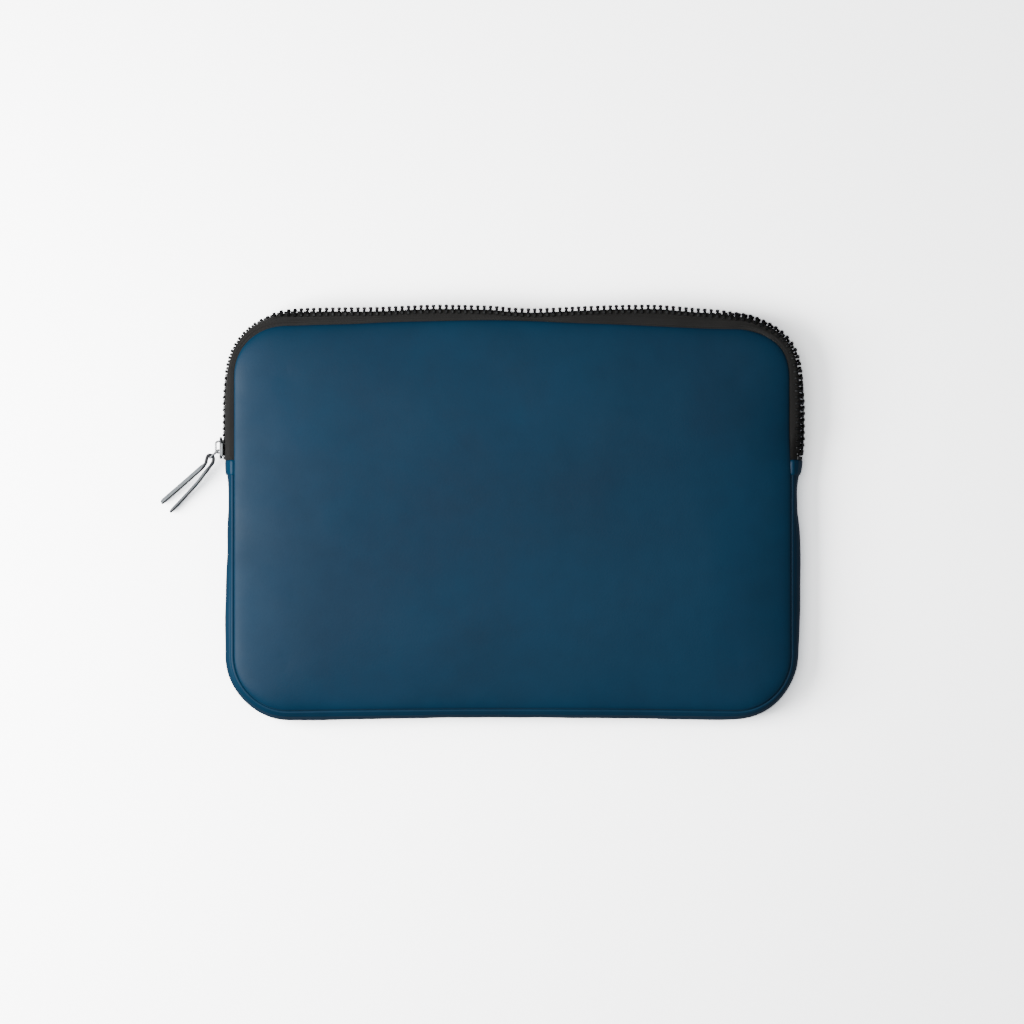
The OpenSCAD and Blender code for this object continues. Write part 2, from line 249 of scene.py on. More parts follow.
def lining_material(name, dark, light):
    """Brushed woven lining: a plain weave under a soft nap."""
    m, t, b = nodes_of(name)
    n = Net(t)
    c = n.coords((1000, 1000, 1000))
    wx = n.node("ShaderNodeTexWave", {"Vector": c, "Scale": 0.30, "Distortion": 0.4, "Detail": 1}, wave_type="BANDS", bands_direction="X").outputs["Fac"]
    wy = n.node("ShaderNodeTexWave", {"Vector": c, "Scale": 0.30, "Distortion": 0.4, "Detail": 1}, wave_type="BANDS", bands_direction="Y").outputs["Fac"]
    weave = n.math("MULTIPLY", n.math("ADD", wx, wy), 0.5)
    o = n.coords()
    nap = n.noise(o, 620, 5, 0.7)
    patch = n.noise(o, 22, 3)
    f = n.math("MULTIPLY_ADD", patch, 0.4, n.math("MULTIPLY_ADD", nap, 0.5, n.math("MULTIPLY", weave, 0.3)))
    n.link(n.ramp(f, [(0.3, dark), (0.85, light)]), b.inputs["Base Color"])
    n.link(n.bump(n.math("MULTIPLY_ADD", nap, 0.8, weave), 0.45, 0.00025), b.inputs["Normal"])
    b.inputs["Roughness"].default_value = 0.88
    b.inputs["Specular IOR Level"].default_value = 0.2
    b.inputs["Sheen Weight"].default_value = 0.35
    b.inputs["Sheen Roughness"].default_value = 0.5
    return m


def tape_material(name, dark, light, rib=0.314):
    """Woven tape: a herringbone in the sewn direction, from the coordinates kept on the mesh."""
    m, t, b = nodes_of(name)
    n = Net(t)
    a = n.attr("weave").outputs["Vector"]
    sep = n.node("ShaderNodeSeparateXYZ", {0: a}).outputs
    fold = n.math("PINGPONG", sep[1], 1.3)
    run = n.math("MULTIPLY_ADD", fold, 0.9, sep[0])
    v = n.node("ShaderNodeCombineXYZ", {0: run, 1: sep[1], 2: 0.0}).outputs[0]
    w1 = n.node("ShaderNodeTexWave", {"Vector": v, "Scale": rib, "Distortion": 0.25, "Detail": 1}, wave_type="BANDS", bands_direction="X").outputs["Fac"]
    w2 = n.node("ShaderNodeTexWave", {"Vector": a, "Scale": rib * 1.25, "Distortion": 0.1, "Detail": 0}, wave_type="BANDS", bands_direction="Y").outputs["Fac"]
    fuzz = n.noise(n.coords(), 2600, 3, 0.7)
    patch = n.noise(n.coords(), 60, 2)
    h = n.math("MULTIPLY_ADD", w2, 0.45, w1)
    f = n.math("MULTIPLY_ADD", patch, 0.35, n.math("MULTIPLY_ADD", fuzz, 0.3, n.math("MULTIPLY", h, 0.4)))
    n.link(n.ramp(f, [(0.22, dark), (0.9, light)]), b.inputs["Base Color"])
    n.link(n.bump(n.math("MULTIPLY_ADD", fuzz, 0.25, h), 0.6, 0.0003), b.inputs["Normal"])
    b.inputs["Roughness"].default_value = 0.62
    b.inputs["Specular IOR Level"].default_value = 0.35
    b.inputs["Sheen Weight"].default_value = 0.25
    b.inputs["Sheen Roughness"].default_value = 0.4
    return m


def metal_material(name, base, bright, rough=(0.22, 0.42), worn="wear", metallic=1.0, scale=240):
    """Plated metal: cloudy plating, fine scratches, and bright wear where the mesh says so."""
    m, t, b = nodes_of(name)
    n = Net(t)
    c = n.coords()
    cloud = n.noise(c, scale, 4, 0.6)
    grit = n.noise(c, 5200, 2, 0.6)
    scratch = n.noise(n.coords((1, 9, 3)), 900, 3, 0.7)
    wear = n.attr(worn).outputs["Fac"]
    edge = n.math("MULTIPLY", wear, n.range(grit, 0.35, 0.6, 0.35, 1.0))
    low = tuple(x * 0.72 for x in base)
    col = n.mixc(n.math("MULTIPLY", cloud, 0.9), base, low)
    n.link(n.mixc(edge, col, bright), b.inputs["Base Color"])
    n.link(n.range(scratch, 0.35, 0.7, rough[0], rough[1]), b.inputs["Roughness"])
    n.link(n.bump(n.math("MULTIPLY_ADD", grit, 0.3, scratch), 0.08, 0.00004), b.inputs["Normal"])
    b.inputs["Metallic"].default_value = metallic
    return m


def strap_material(name):
    """Narrow folded strap: coated slate faces and dark painted edges."""
    m, t, b = nodes_of(name)
    n = Net(t)
    c = n.coords()
    core = n.attr("core").outputs["Fac"]
    grain = n.voronoi(c, 1500, "SMOOTH_F1")
    fine = n.noise(c, 420, 3, 0.6)
    face = n.ramp(fine, [(0.3, lin(150, 158, 164)), (0.7, lin(184, 190, 194))])
    edge = n.ramp(fine, [(0.3, lin(20, 22, 26)), (0.7, lin(40, 44, 50))])
    col = n.mixc(n.range(core, 0.3, 0.7, 0.0, 1.0), face, edge)
    n.link(col, b.inputs["Base Color"])
    n.link(n.range(fine, 0.3, 0.7, 0.34, 0.5), b.inputs["Roughness"])
    n.link(n.bump(grain, 0.25, 0.0001), b.inputs["Normal"])
    b.inputs["Specular IOR Level"].default_value = 0.5
    b.inputs["Coat Weight"].default_value = 0.15
    b.inputs["Coat Roughness"].default_value = 0.3
    return m


SKIN_MAT = skin_material("coated_skin", lin(6, 50, 77), lin(10, 61, 91))
BACK_MAT = skin_material("coated_skin_back", lin(4, 45, 72), lin(9, 58, 88), rough=(0.44, 0.56))
TAB_MAT = skin_material("coated_skin_folded", lin(6, 52, 82), lin(12, 68, 100), rough=(0.34, 0.46))
FOAM_MAT = foam_material("foam", lin(40, 42, 46), lin(70, 73, 78))
LINING_MAT = lining_material("lining", lin(42, 47, 56), lin(76, 83, 95))
BINDING_MAT = tape_material("binding", lin(16, 16, 18), lin(40, 40, 44), rib=0.26)
TAPE_MAT = tape_material("zip_tape", lin(6, 6, 6), lin(44, 42, 40))
TEETH_MAT = metal_material("zip_teeth", lin(34, 34, 35), lin(120, 121, 122), rough=(0.28, 0.46), metallic=0.9)
SLIDER_MAT = metal_material("slider_metal", lin(84, 86, 89), lin(190, 193, 195), rough=(0.2, 0.34), metallic=0.88)
LINK_MAT = metal_material("link_metal", lin(188, 191, 194), lin(236, 237, 238), rough=(0.17, 0.3), metallic=0.86)
STRAP_MAT = strap_material("strap_leather")
THREAD_MAT = foam_material("thread", lin(34, 40, 50), lin(66, 76, 90))


# ---------------------------------------------------------------- mesh helpers
def piece(name, verts, faces, mat, smooth=True, attrs=None, sharp=None, flip=False):
    me = bpy.data.meshes.new(name)
    fs = [tuple(int(i) for i in f) for f in faces]
    if flip:
        fs = [f[::-1] for f in fs]
    me.from_pydata([tuple(v) for v in np.asarray(verts, float) * 0.001], [], fs)
    me.update()
    me.polygons.foreach_set("use_smooth", [smooth] * len(me.polygons))
    for k, v in (attrs or {}).items():
        v = np.asarray(v, np.float32)
        if v.ndim == 2:
            me.attributes.new(k, "FLOAT_VECTOR", "POINT").data.foreach_set("vector", v.ravel())
        else:
            me.attributes.new(k, "FLOAT", "POINT").data.foreach_set("value", v)
    if sharp is not None:
        me.set_sharp_from_angle(angle=math.radians(sharp))
    me.materials.append(mat)
    ob = bpy.data.objects.new(name, me)
    scene.collection.objects.link(ob)
    return ob


def normals(verts, faces):
    """Vertex normals of a surface."""
    v = np.asarray(verts, float)
    n = np.zeros_like(v)
    tri = [(f[0], f[k], f[k + 1]) for f in faces for k in range(1, len(f) - 1)]
    t = np.array(tri)
    c = np.cross(v[t[:, 1]] - v[t[:, 0]], v[t[:, 2]] - v[t[:, 0]])
    for k in range(3):
        np.add.at(n, t[:, k], c)
    return n / np.maximum(np.linalg.norm(n, axis=1), 1e-12)[:, None]


def grid_faces(rows, cols, closed_cols=False, closed_rows=False, start=0):
    f = []
    for r in range(rows if closed_rows else rows - 1):
        for c in range(cols if closed_cols else cols - 1):
            a, b = start + r * cols + c, start + r * cols + (c + 1) % cols
            d, e = start + ((r + 1) % rows) * cols + c, start + ((r + 1) % rows) * cols + (c + 1) % cols
            f.append((a, b, e, d))
    return f


def loft(rings, closed=False):
    """Solid from a list of closed sections with the same number of points."""
    rings = [np.asarray(r, float) for r in rings]
    n, m = len(rings[0]), len(rings)
    v = np.vstack(rings)
    f = grid_faces(m, n, closed_cols=True, closed_rows=closed)
    if not closed:
        f.append(tuple(range(n - 1, -1, -1)))
        f.append(tuple((m - 1) * n + k for k in range(n)))
    return v, f


# ---------------------------------------------------------------- the panel net: rings round the rim and a grid in the middle
NC, NX, NY = 14, 74, 46


def ring(i):
    w, d, r = HW - i, HD - i, max(CR - i, 0.0)
    cs = [(w - r, d - r), (r - w, d - r), (r - w, r - d), (w - r, r - d)]
    out = []
    for q in range(4):
        for k in range(NC + 1):
            a = math.radians(90 * q + 90 * k / NC)
            out.append((cs[q][0] + r * math.cos(a), cs[q][1] + r * math.sin(a)))
        p, a2 = out[-1], math.radians(90 * (q + 1))
        c2 = cs[(q + 1) % 4]
        e = (c2[0] + r * math.cos(a2), c2[1] + r * math.sin(a2))
        n = NX if q % 2 == 0 else NY
        out += [(mix(p[0], e[0], k / n), mix(p[1], e[1], k / n)) for k in range(1, n)]
    return np.array(out)


INSETS = [0, 0.35, 0.8, 1.5, 2.5, 4, 6, 9, 12.5, 16.5, 21, 26, 31]
NR = len(ring(0))


def panel_net():
    """Flat points, the inset of each, and faces that look up."""
    pts, ins = [], []
    for i in INSETS:
        pts.append(ring(i))
        ins += [i] * NR
    base = len(INSETS) * NR
    gx, gy = np.linspace(CR - HW, HW - CR, NX + 1), np.linspace(CR - HD, HD - CR, NY + 1)
    g = np.array([(x, y) for y in gy for x in gx])
    pts.append(g)
    ins += list(CR + np.minimum(HW - CR - np.abs(g[:, 0]), HD - CR - np.abs(g[:, 1])))
    at = {(round(x, 3), round(y, 3)): base + k for k, (x, y) in enumerate(g)}
    faces = []
    for k in range(len(INSETS) - 1):
        for j in range(NR):
            a, b = k * NR + j, k * NR + (j + 1) % NR
            faces.append((a, b, b + NR, a + NR))
    rim = ring(CR)
    near = [at[(round(x + 0.0, 3), round(y + 0.0, 3))] for x, y in rim]
    k = (len(INSETS) - 1) * NR
    for j in range(NR):
        a, b, c, d = k + j, k + (j + 1) % NR, near[(j + 1) % NR], near[j]
        faces.append((a, b, c) if c == d else (a, b, c, d))
    for y in range(NY):
        for x in range(NX):
            a = base + y * (NX + 1) + x
            faces.append((a, a + 1, a + NX + 2, a + NX + 1))
    return np.vstack(pts), np.array(ins), faces


P, INS, FACES = panel_net()


def crown(i):
    return table([0, 0.35, 0.8, 1.5, 2.5, 4, 6, 9, 12, 17, 22, 29, 36, 200],
                 [4.4, 3.85, 3.35, 2.9, 2.5, 2.08, 1.68, 1.26, 0.97, 0.66, 0.43, 0.19, 0.05, 0.0])(i)


def ripple(x, y):
    """Slow unevenness of a padded panel."""
    return (0.5 * np.sin(x / 47 + 0.8) * np.cos(y / 39 - 0.4) + 0.35 * np.sin(x / 23 - y / 31 + 1.1)
            + 0.25 * np.cos(x / 17 + y / 21))


def cloth(name, verts, faces, pinned, pressure, shrink, frames, cap):
    """Blows a pinned cloth up with Blender's cloth and gives the movement of each point, in millimetres."""
    me = bpy.data.meshes.new(name)
    me.from_pydata([tuple(v) for v in verts * 0.001], [], faces)
    me.update()
    ob = bpy.data.objects.new(name, me)
    scene.collection.objects.link(ob)
    g = ob.vertex_groups.new(name="pin")
    g.add([int(k) for k in pinned], 1.0, "REPLACE")
    m = ob.modifiers.new("Cloth", "CLOTH")
    s = m.settings
    s.quality = 5
    s.mass = 0.25
    s.tension_stiffness, s.compression_stiffness, s.shear_stiffness, s.bending_stiffness = 25, 25, 12, 1.2
    s.vertex_group_mass = "pin"
    s.use_pressure = True
    s.uniform_pressure_force = pressure
    s.shrink_min = shrink
    s.effector_weights.gravity = 0
    m.collision_settings.use_collision = False
    m.collision_settings.use_self_collision = False
    for f in range(1, frames + 1):
        scene.frame_set(f)
    dg = bpy.context.evaluated_depsgraph_get()
    ev = ob.evaluated_get(dg)
    co = np.zeros(len(me.vertices) * 3)
    ev.data.vertices.foreach_get("co", co)
    move = co.reshape(-1, 3) * 1000 - verts
    bpy.data.objects.remove(ob)
    bpy.data.meshes.remove(me)
    scene.frame_set(1)
    size = np.linalg.norm(move, axis=1)
    return move * (cap * np.tanh(size / cap) / np.maximum(size, 1e-9))[:, None]


def evened(field, faces, free, rounds):
    """Spreads a movement over the neighbouring points, so that stiff coated cloth shows no small ripples."""
    e = np.array(sorted({(min(f[k], f[(k + 1) % len(f)]), max(f[k], f[(k + 1) % len(f)])) for f in faces for k in range(len(f))}))
    count = np.bincount(e.ravel(), minlength=len(field)).astype(float)[:, None]
    for _ in range(rounds):
        total = np.zeros_like(field)
        np.add.at(total, e[:, 0], field[e[:, 1]])
        np.add.at(total, e[:, 1], field[e[:, 0]])
        field = np.where(free[:, None], 0.35 * field + 0.65 * total / count, field)
    return field


# ---------------------------------------------------------------- front panel: one cover over one padding, in one piece across the flap's bend
dx, dy = drawn(P[:, 0], P[:, 1])
front_xy = np.column_stack([P[:, 0] + dx, P[:, 1] + dy])
in_mouth = ease(30, 42, P[:, 1])
inner_w = ease(2, 40, INS)
start = np.column_stack([front_xy, TOP - 0.9 - crown(INS) * 0.80])
start[:, 2] += 0.30 * ripple(P[:, 0], P[:, 1]) * inner_w
swell = cloth("front_cover_form", start, FACES, np.where(INS < 2.0)[0], 4.0, -0.002, 20, 3.0)
swell = evened(swell, FACES, INS > 2.0, 34)
front_top = start + swell
front_top[:, 2] = np.minimum(front_top[:, 2], TOP + 1.8)


def shell(name, top, faces, thick, bead, mat, slot, rim=NR, up=1):
    """Cloth of real thickness under a surface whose first points are its rim, with a rounded edge."""
    n = normals(top, faces) * up
    low = top - n * thick
    mid = (top[:rim] + low[:rim]) / 2
    out = n[:rim].copy()
    out[:, 2] = 0
    tang = np.roll(top[:rim], -1, 0) - np.roll(top[:rim], 1, 0)
    side = np.column_stack([tang[:, 1], -tang[:, 0], np.zeros(rim)])
    side /= np.maximum(np.linalg.norm(side, axis=1), 1e-9)[:, None]
    mid = mid + side * bead
    k = len(top)
    v = np.vstack([top, low, mid])
    f = [tuple(x) for x in faces] + [tuple(k + i for i in x[::-1]) for x in faces]
    for j in range(rim):
        a, b = j, (j + 1) % rim
        f.append((b, a, 2 * k + a, 2 * k + b))
        f.append((2 * k + b, 2 * k + a, k + a, k + b))
    if up < 0:
        f = [x[::-1] for x in f]
    return v, f, low


v, f, front_low = shell("front_cover", front_top, FACES, SKIN, 0.22, SKIN_MAT, "coated_skin")
front_cover = piece("front_cover", bowed(v), f, SKIN_MAT)
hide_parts("front_panel_skin", "flap_skin")
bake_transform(front_cover)


def pad_between(name, xy, top, bottom, trim, mat, slot):
    """Foam between two surfaces of the panel net, closed by a wall round its rim."""
    k = len(xy)
    v = np.vstack([np.column_stack([xy, top]), np.column_stack([xy, bottom])])
    f = [tuple(x) for x in FACES] + [tuple(k + i for i in x[::-1]) for x in FACES]
    for j in range(NR):
        a, b = j, (j + 1) % NR
        f.append((b, a, k + a, k + b))
    return v, f


def inward(xy, amount):
    """Moves the points of the panel net in from the seam, most at the rim."""
    n = np.zeros_like(xy)
    cx, cy = np.clip(P[:, 0], CR - HW, HW - CR), np.clip(P[:, 1], CR - HD, HD - CR)
    d = np.column_stack([P[:, 0] - cx, P[:, 1] - cy])
    l = np.linalg.norm(d, axis=1)
    n = d / np.maximum(l, 1e-9)[:, None] * (l > 1e-6)[:, None]
    return xy - n * (amount * np.clip(1 - INS / 36, 0, 1))[:, None]


foam_xy = inward(front_xy, 1.2 + 3.6 * in_mouth)
foam_top = front_low[:, 2] - 0.12 - 0.5 * np.clip(1 - INS / 3, 0, 1)
foam_bottom = np.full(len(P), FRONT_LINING + LINING + 0.08)
foam_top = np.maximum(foam_top, foam_bottom + 0.35)
v, f = pad_between("front_padding", foam_xy, foam_top, foam_bottom, 0, FOAM_MAT, "foam")
front_padding = piece("front_padding", bowed(v), f, FOAM_MAT)
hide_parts("front_panel_foam", "flap_foam")
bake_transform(front_padding)

lin_xy = inward(front_xy, 0.8)
under = FRONT_LINING + 0.18 * ripple(P[:, 0] * 1.7, P[:, 1] * 1.6) * inner_w * 0.8
v, f = pad_between("front_lining", lin_xy, np.full(len(P), FRONT_LINING + LINING), under, 0, LINING_MAT, "lining")
front_lining = piece("front_lining", bowed(v), f, LINING_MAT)
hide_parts("front_panel_lining", "flap_lining")
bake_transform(front_lining)

# ---------------------------------------------------------------- back panel
rise = table([0, 0.35, 0.8, 1.5, 2.5, 4, 6, 9, 12, 200], [2.2, 1.7, 1.25, 0.88, 0.58, 0.32, 0.16, 0.06, 0.0, 0.0])
back_bottom = np.column_stack([P, rise(INS) + 0.10 * (1 + np.sin(P[:, 0] / 29 + P[:, 1] / 37)) * 0.5 * ease(0, 8, INS)])
rev = [x[::-1] for x in FACES]
n = normals(back_bottom, rev)
low, k = back_bottom, len(P)
high = back_bottom - n * SKIN
side = np.roll(P[:NR], -1, 0) - np.roll(P[:NR], 1, 0)
side = np.column_stack([side[:, 1], -side[:, 0]])
side /= np.linalg.norm(side, axis=1)[:, None]
mid = (low[:NR] + high[:NR]) / 2
mid[:, :2] += side * 0.22
f = list(rev) + [tuple(k + i for i in x) for x in FACES]
for j in range(NR):
    a, b = j, (j + 1) % NR
    f.append((a, b, 2 * k + b, 2 * k + a))
    f.append((2 * k + a, 2 * k + b, k + b, k + a))
back_cover = piece("back_cover", bowed(np.vstack([low, high, mid])), f, BACK_MAT)
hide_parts("back_panel_skin")
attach(back_cover, "root")

bf = inward(P, 1.2 + 3.6 * in_mouth)
b_low = np.minimum(high[:, 2] + 0.12 + 0.4 * np.clip(1 - INS / 3, 0, 1), BACK_FOAM - 0.5)
v, f = pad_between("back_padding", bf, np.full(k, BACK_FOAM - 0.08), b_low, 0, FOAM_MAT, "foam")
back_padding = piece("back_padding", bowed(v), f, FOAM_MAT)
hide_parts("back_panel_foam")
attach(back_padding, "root")

over = BACK_FOAM + LINING + 0.18 * ripple(P[:, 0] * 1.5 + 40, P[:, 1] * 1.7) * inner_w * 0.8
v, f = pad_between("back_lining", inward(P, 0.8), over, np.full(k, BACK_FOAM), 0, LINING_MAT, "lining")
back_lining = piece("back_lining", bowed(v), f, LINING_MAT)
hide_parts("back_panel_lining")
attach(back_lining, "root")


# ---------------------------------------------------------------- seam bindings inside
def binding(name, z, draw):
    rings, weave = [], []
    c = ring(0)
    t = np.roll(c, -1, 0) - np.roll(c, 1, 0)
    nrm = np.column_stack([t[:, 1], -t[:, 0]])
    nrm /= np.linalg.norm(nrm, axis=1)[:, None]
    step = np.linalg.norm(np.roll(c, -1, 0) - c, axis=1)
    along = np.concatenate([[0], np.cumsum(step)[:-1]])
    prof = [(-1.1, -0.25), (-1.35, -0.4), (-3.7, -0.4), (-3.95, -0.25), (-3.95, 0.2), (-3.7, 0.36), (-2.5, 0.42), (-1.35, 0.36), (-1.1, 0.2)]
    dx, dy = drawn(c[:, 0], c[:, 1]) if draw else (0 * c[:, 0], 0 * c[:, 0])
    for j in range(NR):
        rings.append([(c[j, 0] + dx[j] + nrm[j, 0] * o, c[j, 1] + dy[j] + nrm[j, 1] * o, z + h) for o, h in prof])
        weave += [(along[j], o * 1.0, 0) for o, h in prof]
    v, f = loft(rings, closed=True)
    return piece(name, bowed(v), f, BINDING_MAT, attrs={"weave": weave})


back_binding = binding("back_binding", BACK_FOAM + LINING + 0.50, False)
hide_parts("back_seam_binding")
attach(back_binding, "root")
front_binding = binding("front_binding", FRONT_LINING - 0.50, True)
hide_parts("front_seam_binding", "flap_seam_binding")
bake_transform(front_binding)



def stitches(name, z, draw, up):
    """A row of thread stitches along the middle of a binding, each one dipping into the cloth at its ends."""
    c = ring(2.4)
    closed = np.vstack([c, c[:1]])
    step = np.linalg.norm(np.diff(closed, axis=0), axis=1)
    at = np.concatenate([[0], np.cumsum(step)])
    n = int(at[-1] / 3.6)
    vs, fs = [], []
    ang = np.linspace(0, 2 * math.pi, 6, endpoint=False)
    for j in range(n):
        rings = []
        for t, r, h in ((0.0, 0.10, -0.22), (0.22, 0.20, 0.02), (0.8, 0.24, 0.12), (1.45, 0.25, 0.15), (2.1, 0.24, 0.12), (2.68, 0.20, 0.02), (2.9, 0.10, -0.22)):
            l = j * at[-1] / n + t
            x, y = np.interp(l, at, closed[:, 0]), np.interp(l, at, closed[:, 1])
            x2, y2 = np.interp(l + 0.3, at, closed[:, 0]), np.interp(l + 0.3, at, closed[:, 1])
            d = np.array([x2 - x, y2 - y]) / max(math.hypot(x2 - x, y2 - y), 1e-9)
            mx, my = drawn(x, y) if draw else (0.0, 0.0)
            rings.append([(x + float(mx) + d[1] * r * math.cos(q), y + float(my) - d[0] * r * math.cos(q), z + up * h + r * math.sin(q)) for q in ang])
        v, f = loft(rings)
        k = len(vs) * len(v)
        vs.append(v)
        fs += [tuple(k + i for i in x) for x in f]
    ob = piece(name, bowed(np.vstack(vs)), fs, THREAD_MAT)
    bm = bmesh.new()
    bm.from_mesh(ob.data)
    bmesh.ops.recalc_face_normals(bm, faces=bm.faces[:])
    bm.to_mesh(ob.data)
    bm.free()
    return ob


back_stitches = stitches("back_binding_stitches", BACK_FOAM + LINING + 0.50 + 0.46, False, 1)
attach(back_stitches, "root")
front_stitches = stitches("front_binding_stitches", FRONT_LINING - 0.50 - 0.44, True, -1)
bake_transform(front_stitches)

# ---------------------------------------------------------------- gusset
GL = 2 * (ZIP_Y + HD - CR) + 2 * ARC + TOPL
SIDE = ZIP_Y + HD - CR


def gusset_path(l):
    """Point and outward normal on the seam, l from the left zip end down, along the bottom and up to the right zip end."""
    if l <= SIDE:
        return -HW, ZIP_Y - l, -1.0, 0.0
    if l <= SIDE + ARC:
        a = math.pi + (l - SIDE) / CR
        return CR - HW + CR * math.cos(a), CR - HD + CR * math.sin(a), math.cos(a), math.sin(a)
    if l <= SIDE + ARC + TOPL:
        return CR - HW + l - SIDE - ARC, -HD, 0.0, -1.0
    if l <= SIDE + 2 * ARC + TOPL:
        a = 1.5 * math.pi + (l - SIDE - ARC - TOPL) / CR
        return HW - CR + CR * math.cos(a), CR - HD + CR * math.sin(a), math.cos(a), math.sin(a)
    return HW, CR - HD + (l - SIDE - 2 * ARC - TOPL), 1.0, 0.0


bulge = table([-3, 0, 5, 9.7, 13.5, 19, 31, 38, 50, 60, 73, 93, 106, 150, 200, 270, 336, 400, 470, 496, 520, 540, 560, 600, 622, 632, 641, 653, 659, 664, 669, GL + 3],
              [5.2, 5.3, 5.3, 5.0, 4.6, 4.3, 4.3, 4.7, 5.2, 5.2, 5.6, 6.2, 6.5, 6.2, 6.9, 6.4, 6.1, 6.4, 6.7, 5.6, 5.0, 5.4, 6.3, 6.9, 6.6, 5.7, 4.7, 4.7, 5.3, 6.2, 7.0, 7.3])
# Across the band, from under the front seam over its ridge and down to the back seam: out from the seam, height
G_PROF = [(-1.3, 19.7), (-0.7, 20.1), (-0.1, 20.5), (0.45, 20.82), (1.05, 21.0), (1.65, 20.9), (2.1, 20.55), (2.4, 20.1), (2.85, 19.6),
          (3.5, 19.25), (4.2, 17.9), (4.85, 16.4), (5.35, 14.8), (5.68, 13.2), (5.8, 11.6), (5.68, 10.1), (5.35, 8.6), (4.85, 7.2),
          (4.2, 5.9), (3.5, 4.8), (2.85, 3.9), (2.4, 3.15), (2.1, 2.45), (1.65, 1.9), (1.05, 1.7), (0.45, 1.85), (-0.1, 2.2), (-0.7, 2.7), (-1.3, 3.1)]


def gusset_section(l, inset=0.0):
    b = float(bulge(l))
    out = np.array([p[0] for p in G_PROF])
    z = np.array([p[1] for p in G_PROF])
    wig = 0.22 * math.sin(l / 13.0 + 0.7) * math.sin(l / 37.0) + 0.12 * math.sin(l / 5.3)
    o = np.where(out > 2.1, 2.1 + (out - 2.1) * max(b - 2.1 + wig * 0.6, 0.25) / 3.7, out)
    # a soft fold that runs along the band just below its ridge
    o = o - 0.35 * np.exp(-((z - 18.2 - 0.8 * math.sin(l / 41.0)) / 1.5) ** 2) * (b > 3.4) * (0.6 + 0.4 * math.sin(l / 23.0))
    if inset:
        t = np.column_stack([np.gradient(o), np.gradient(z)])
        t /= np.linalg.norm(t, axis=1)[:, None]
        nrm = np.column_stack([-t[:, 1], t[:, 0]])
        o, z = o - nrm[:, 0] * inset, z - nrm[:, 1] * inset
    return np.column_stack([o, z])


def placed(sec, l):
    x, y, nx, ny = gusset_path(l)
    return [(x + nx * o, y + ny * o, z) for o, z in sec]


def band(name, lo, hi, inset0, inset1, mat, first=0, last=None, step=3.4):
    """A lined band between two depths under the gusset's outer surface."""
    last = len(G_PROF) if last is None else last
    n = max(2, int((hi - lo) / step))
    rings = []
    for l in np.linspace(lo, hi, n + 1):
        a = gusset_section(min(max(l, 0.0), GL), inset0)[first:last]
        b = gusset_section(min(max(l, 0.0), GL), inset1)[first:last]
        rings.append(placed(np.vstack([a, b[::-1]]), l))
    v, f = loft(rings)
    return piece(name, bowed(v), f, mat, flip=True)


gusset_cover = band("gusset_cover", 0.0, GL, 0.0, SKIN, SKIN_MAT, step=2.6)
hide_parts("gusset_skin")
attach(gusset_cover, "root")
gusset_padding = band("gusset_padding", 0.6, GL - 0.6, SKIN + 0.1, SKIN + 1.3, FOAM_MAT, first=6, last=-6)
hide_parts("gusset_foam")
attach(gusset_padding, "root")
gusset_liner = band("gusset_liner", 0.6, GL - 0.6, SKIN + 1.4, SKIN + 1.9, LINING_MAT, first=6, last=-6)
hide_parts("gusset_lining")
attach(gusset_liner, "root")


def tab(name, node, left):
    """Folded tab over one end of the gusset, rolled over the end of the band."""
    ls = [-0.75, -0.7, -0.45, 0.1, 0.9, 2.2, 4.5, 7.0, 8.6, 9.3, 9.65, 9.75]
    off = [-1.5, -0.4, 0.55, 0.98, 1.1, 1.12, 1.05, 1.0, 0.92, 0.75, 0.5, 0.2]
    inn = [-1.7, -1.6, -1.5, -1.4, 0.04, 0.04, 0.04, 0.04, 0.04, 0.04, 0.04, 0.04]
    rings = []
    for l, o, i in zip(ls, off, inn):
        g = max(l, 0.0)
        at = g if left else GL - g
        sa = gusset_section(at, -o)[1:-1]
        sb = gusset_section(at, -i)[1:-1]
        sec = np.vstack([sa, sb[::-1]])
        x, y, nx, ny = gusset_path(at)
        y = ZIP_Y - l
        rings.append([(x + nx * a, y, z) for a, z in sec])
    v, f = loft(rings)
    ob = piece(name, bowed(v), f, TAB_MAT, flip=left)
    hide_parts(node)
    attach(ob, "root")
    return ob


tab("left_end_tab", "gusset_tab_left", True)
tab("right_end_tab", "gusset_tab_right", False)


# ---------------------------------------------------------------- zip
def zip_path(s):
    if s <= LEG:
        return -HW, ZIP_Y + s, -1.0, 0.0
    if s <= LEG + ARC:
        a = math.pi - (s - LEG) / CR
        return CR - HW + CR * math.cos(a), HD - CR + CR * math.sin(a), math.cos(a), math.sin(a)
    if s <= LEG + ARC + TOPL:
        return CR - HW + s - LEG - ARC, HD, 0.0, 1.0
    if s <= LEG + 2 * ARC + TOPL:
        a = math.pi / 2 - (s - LEG - ARC - TOPL) / CR
        return HW - CR + CR * math.cos(a), HD - CR + CR * math.sin(a), math.cos(a), math.sin(a)
    return HW, HD - CR - (s - LEG - 2 * ARC - TOPL), 1.0, 0.0


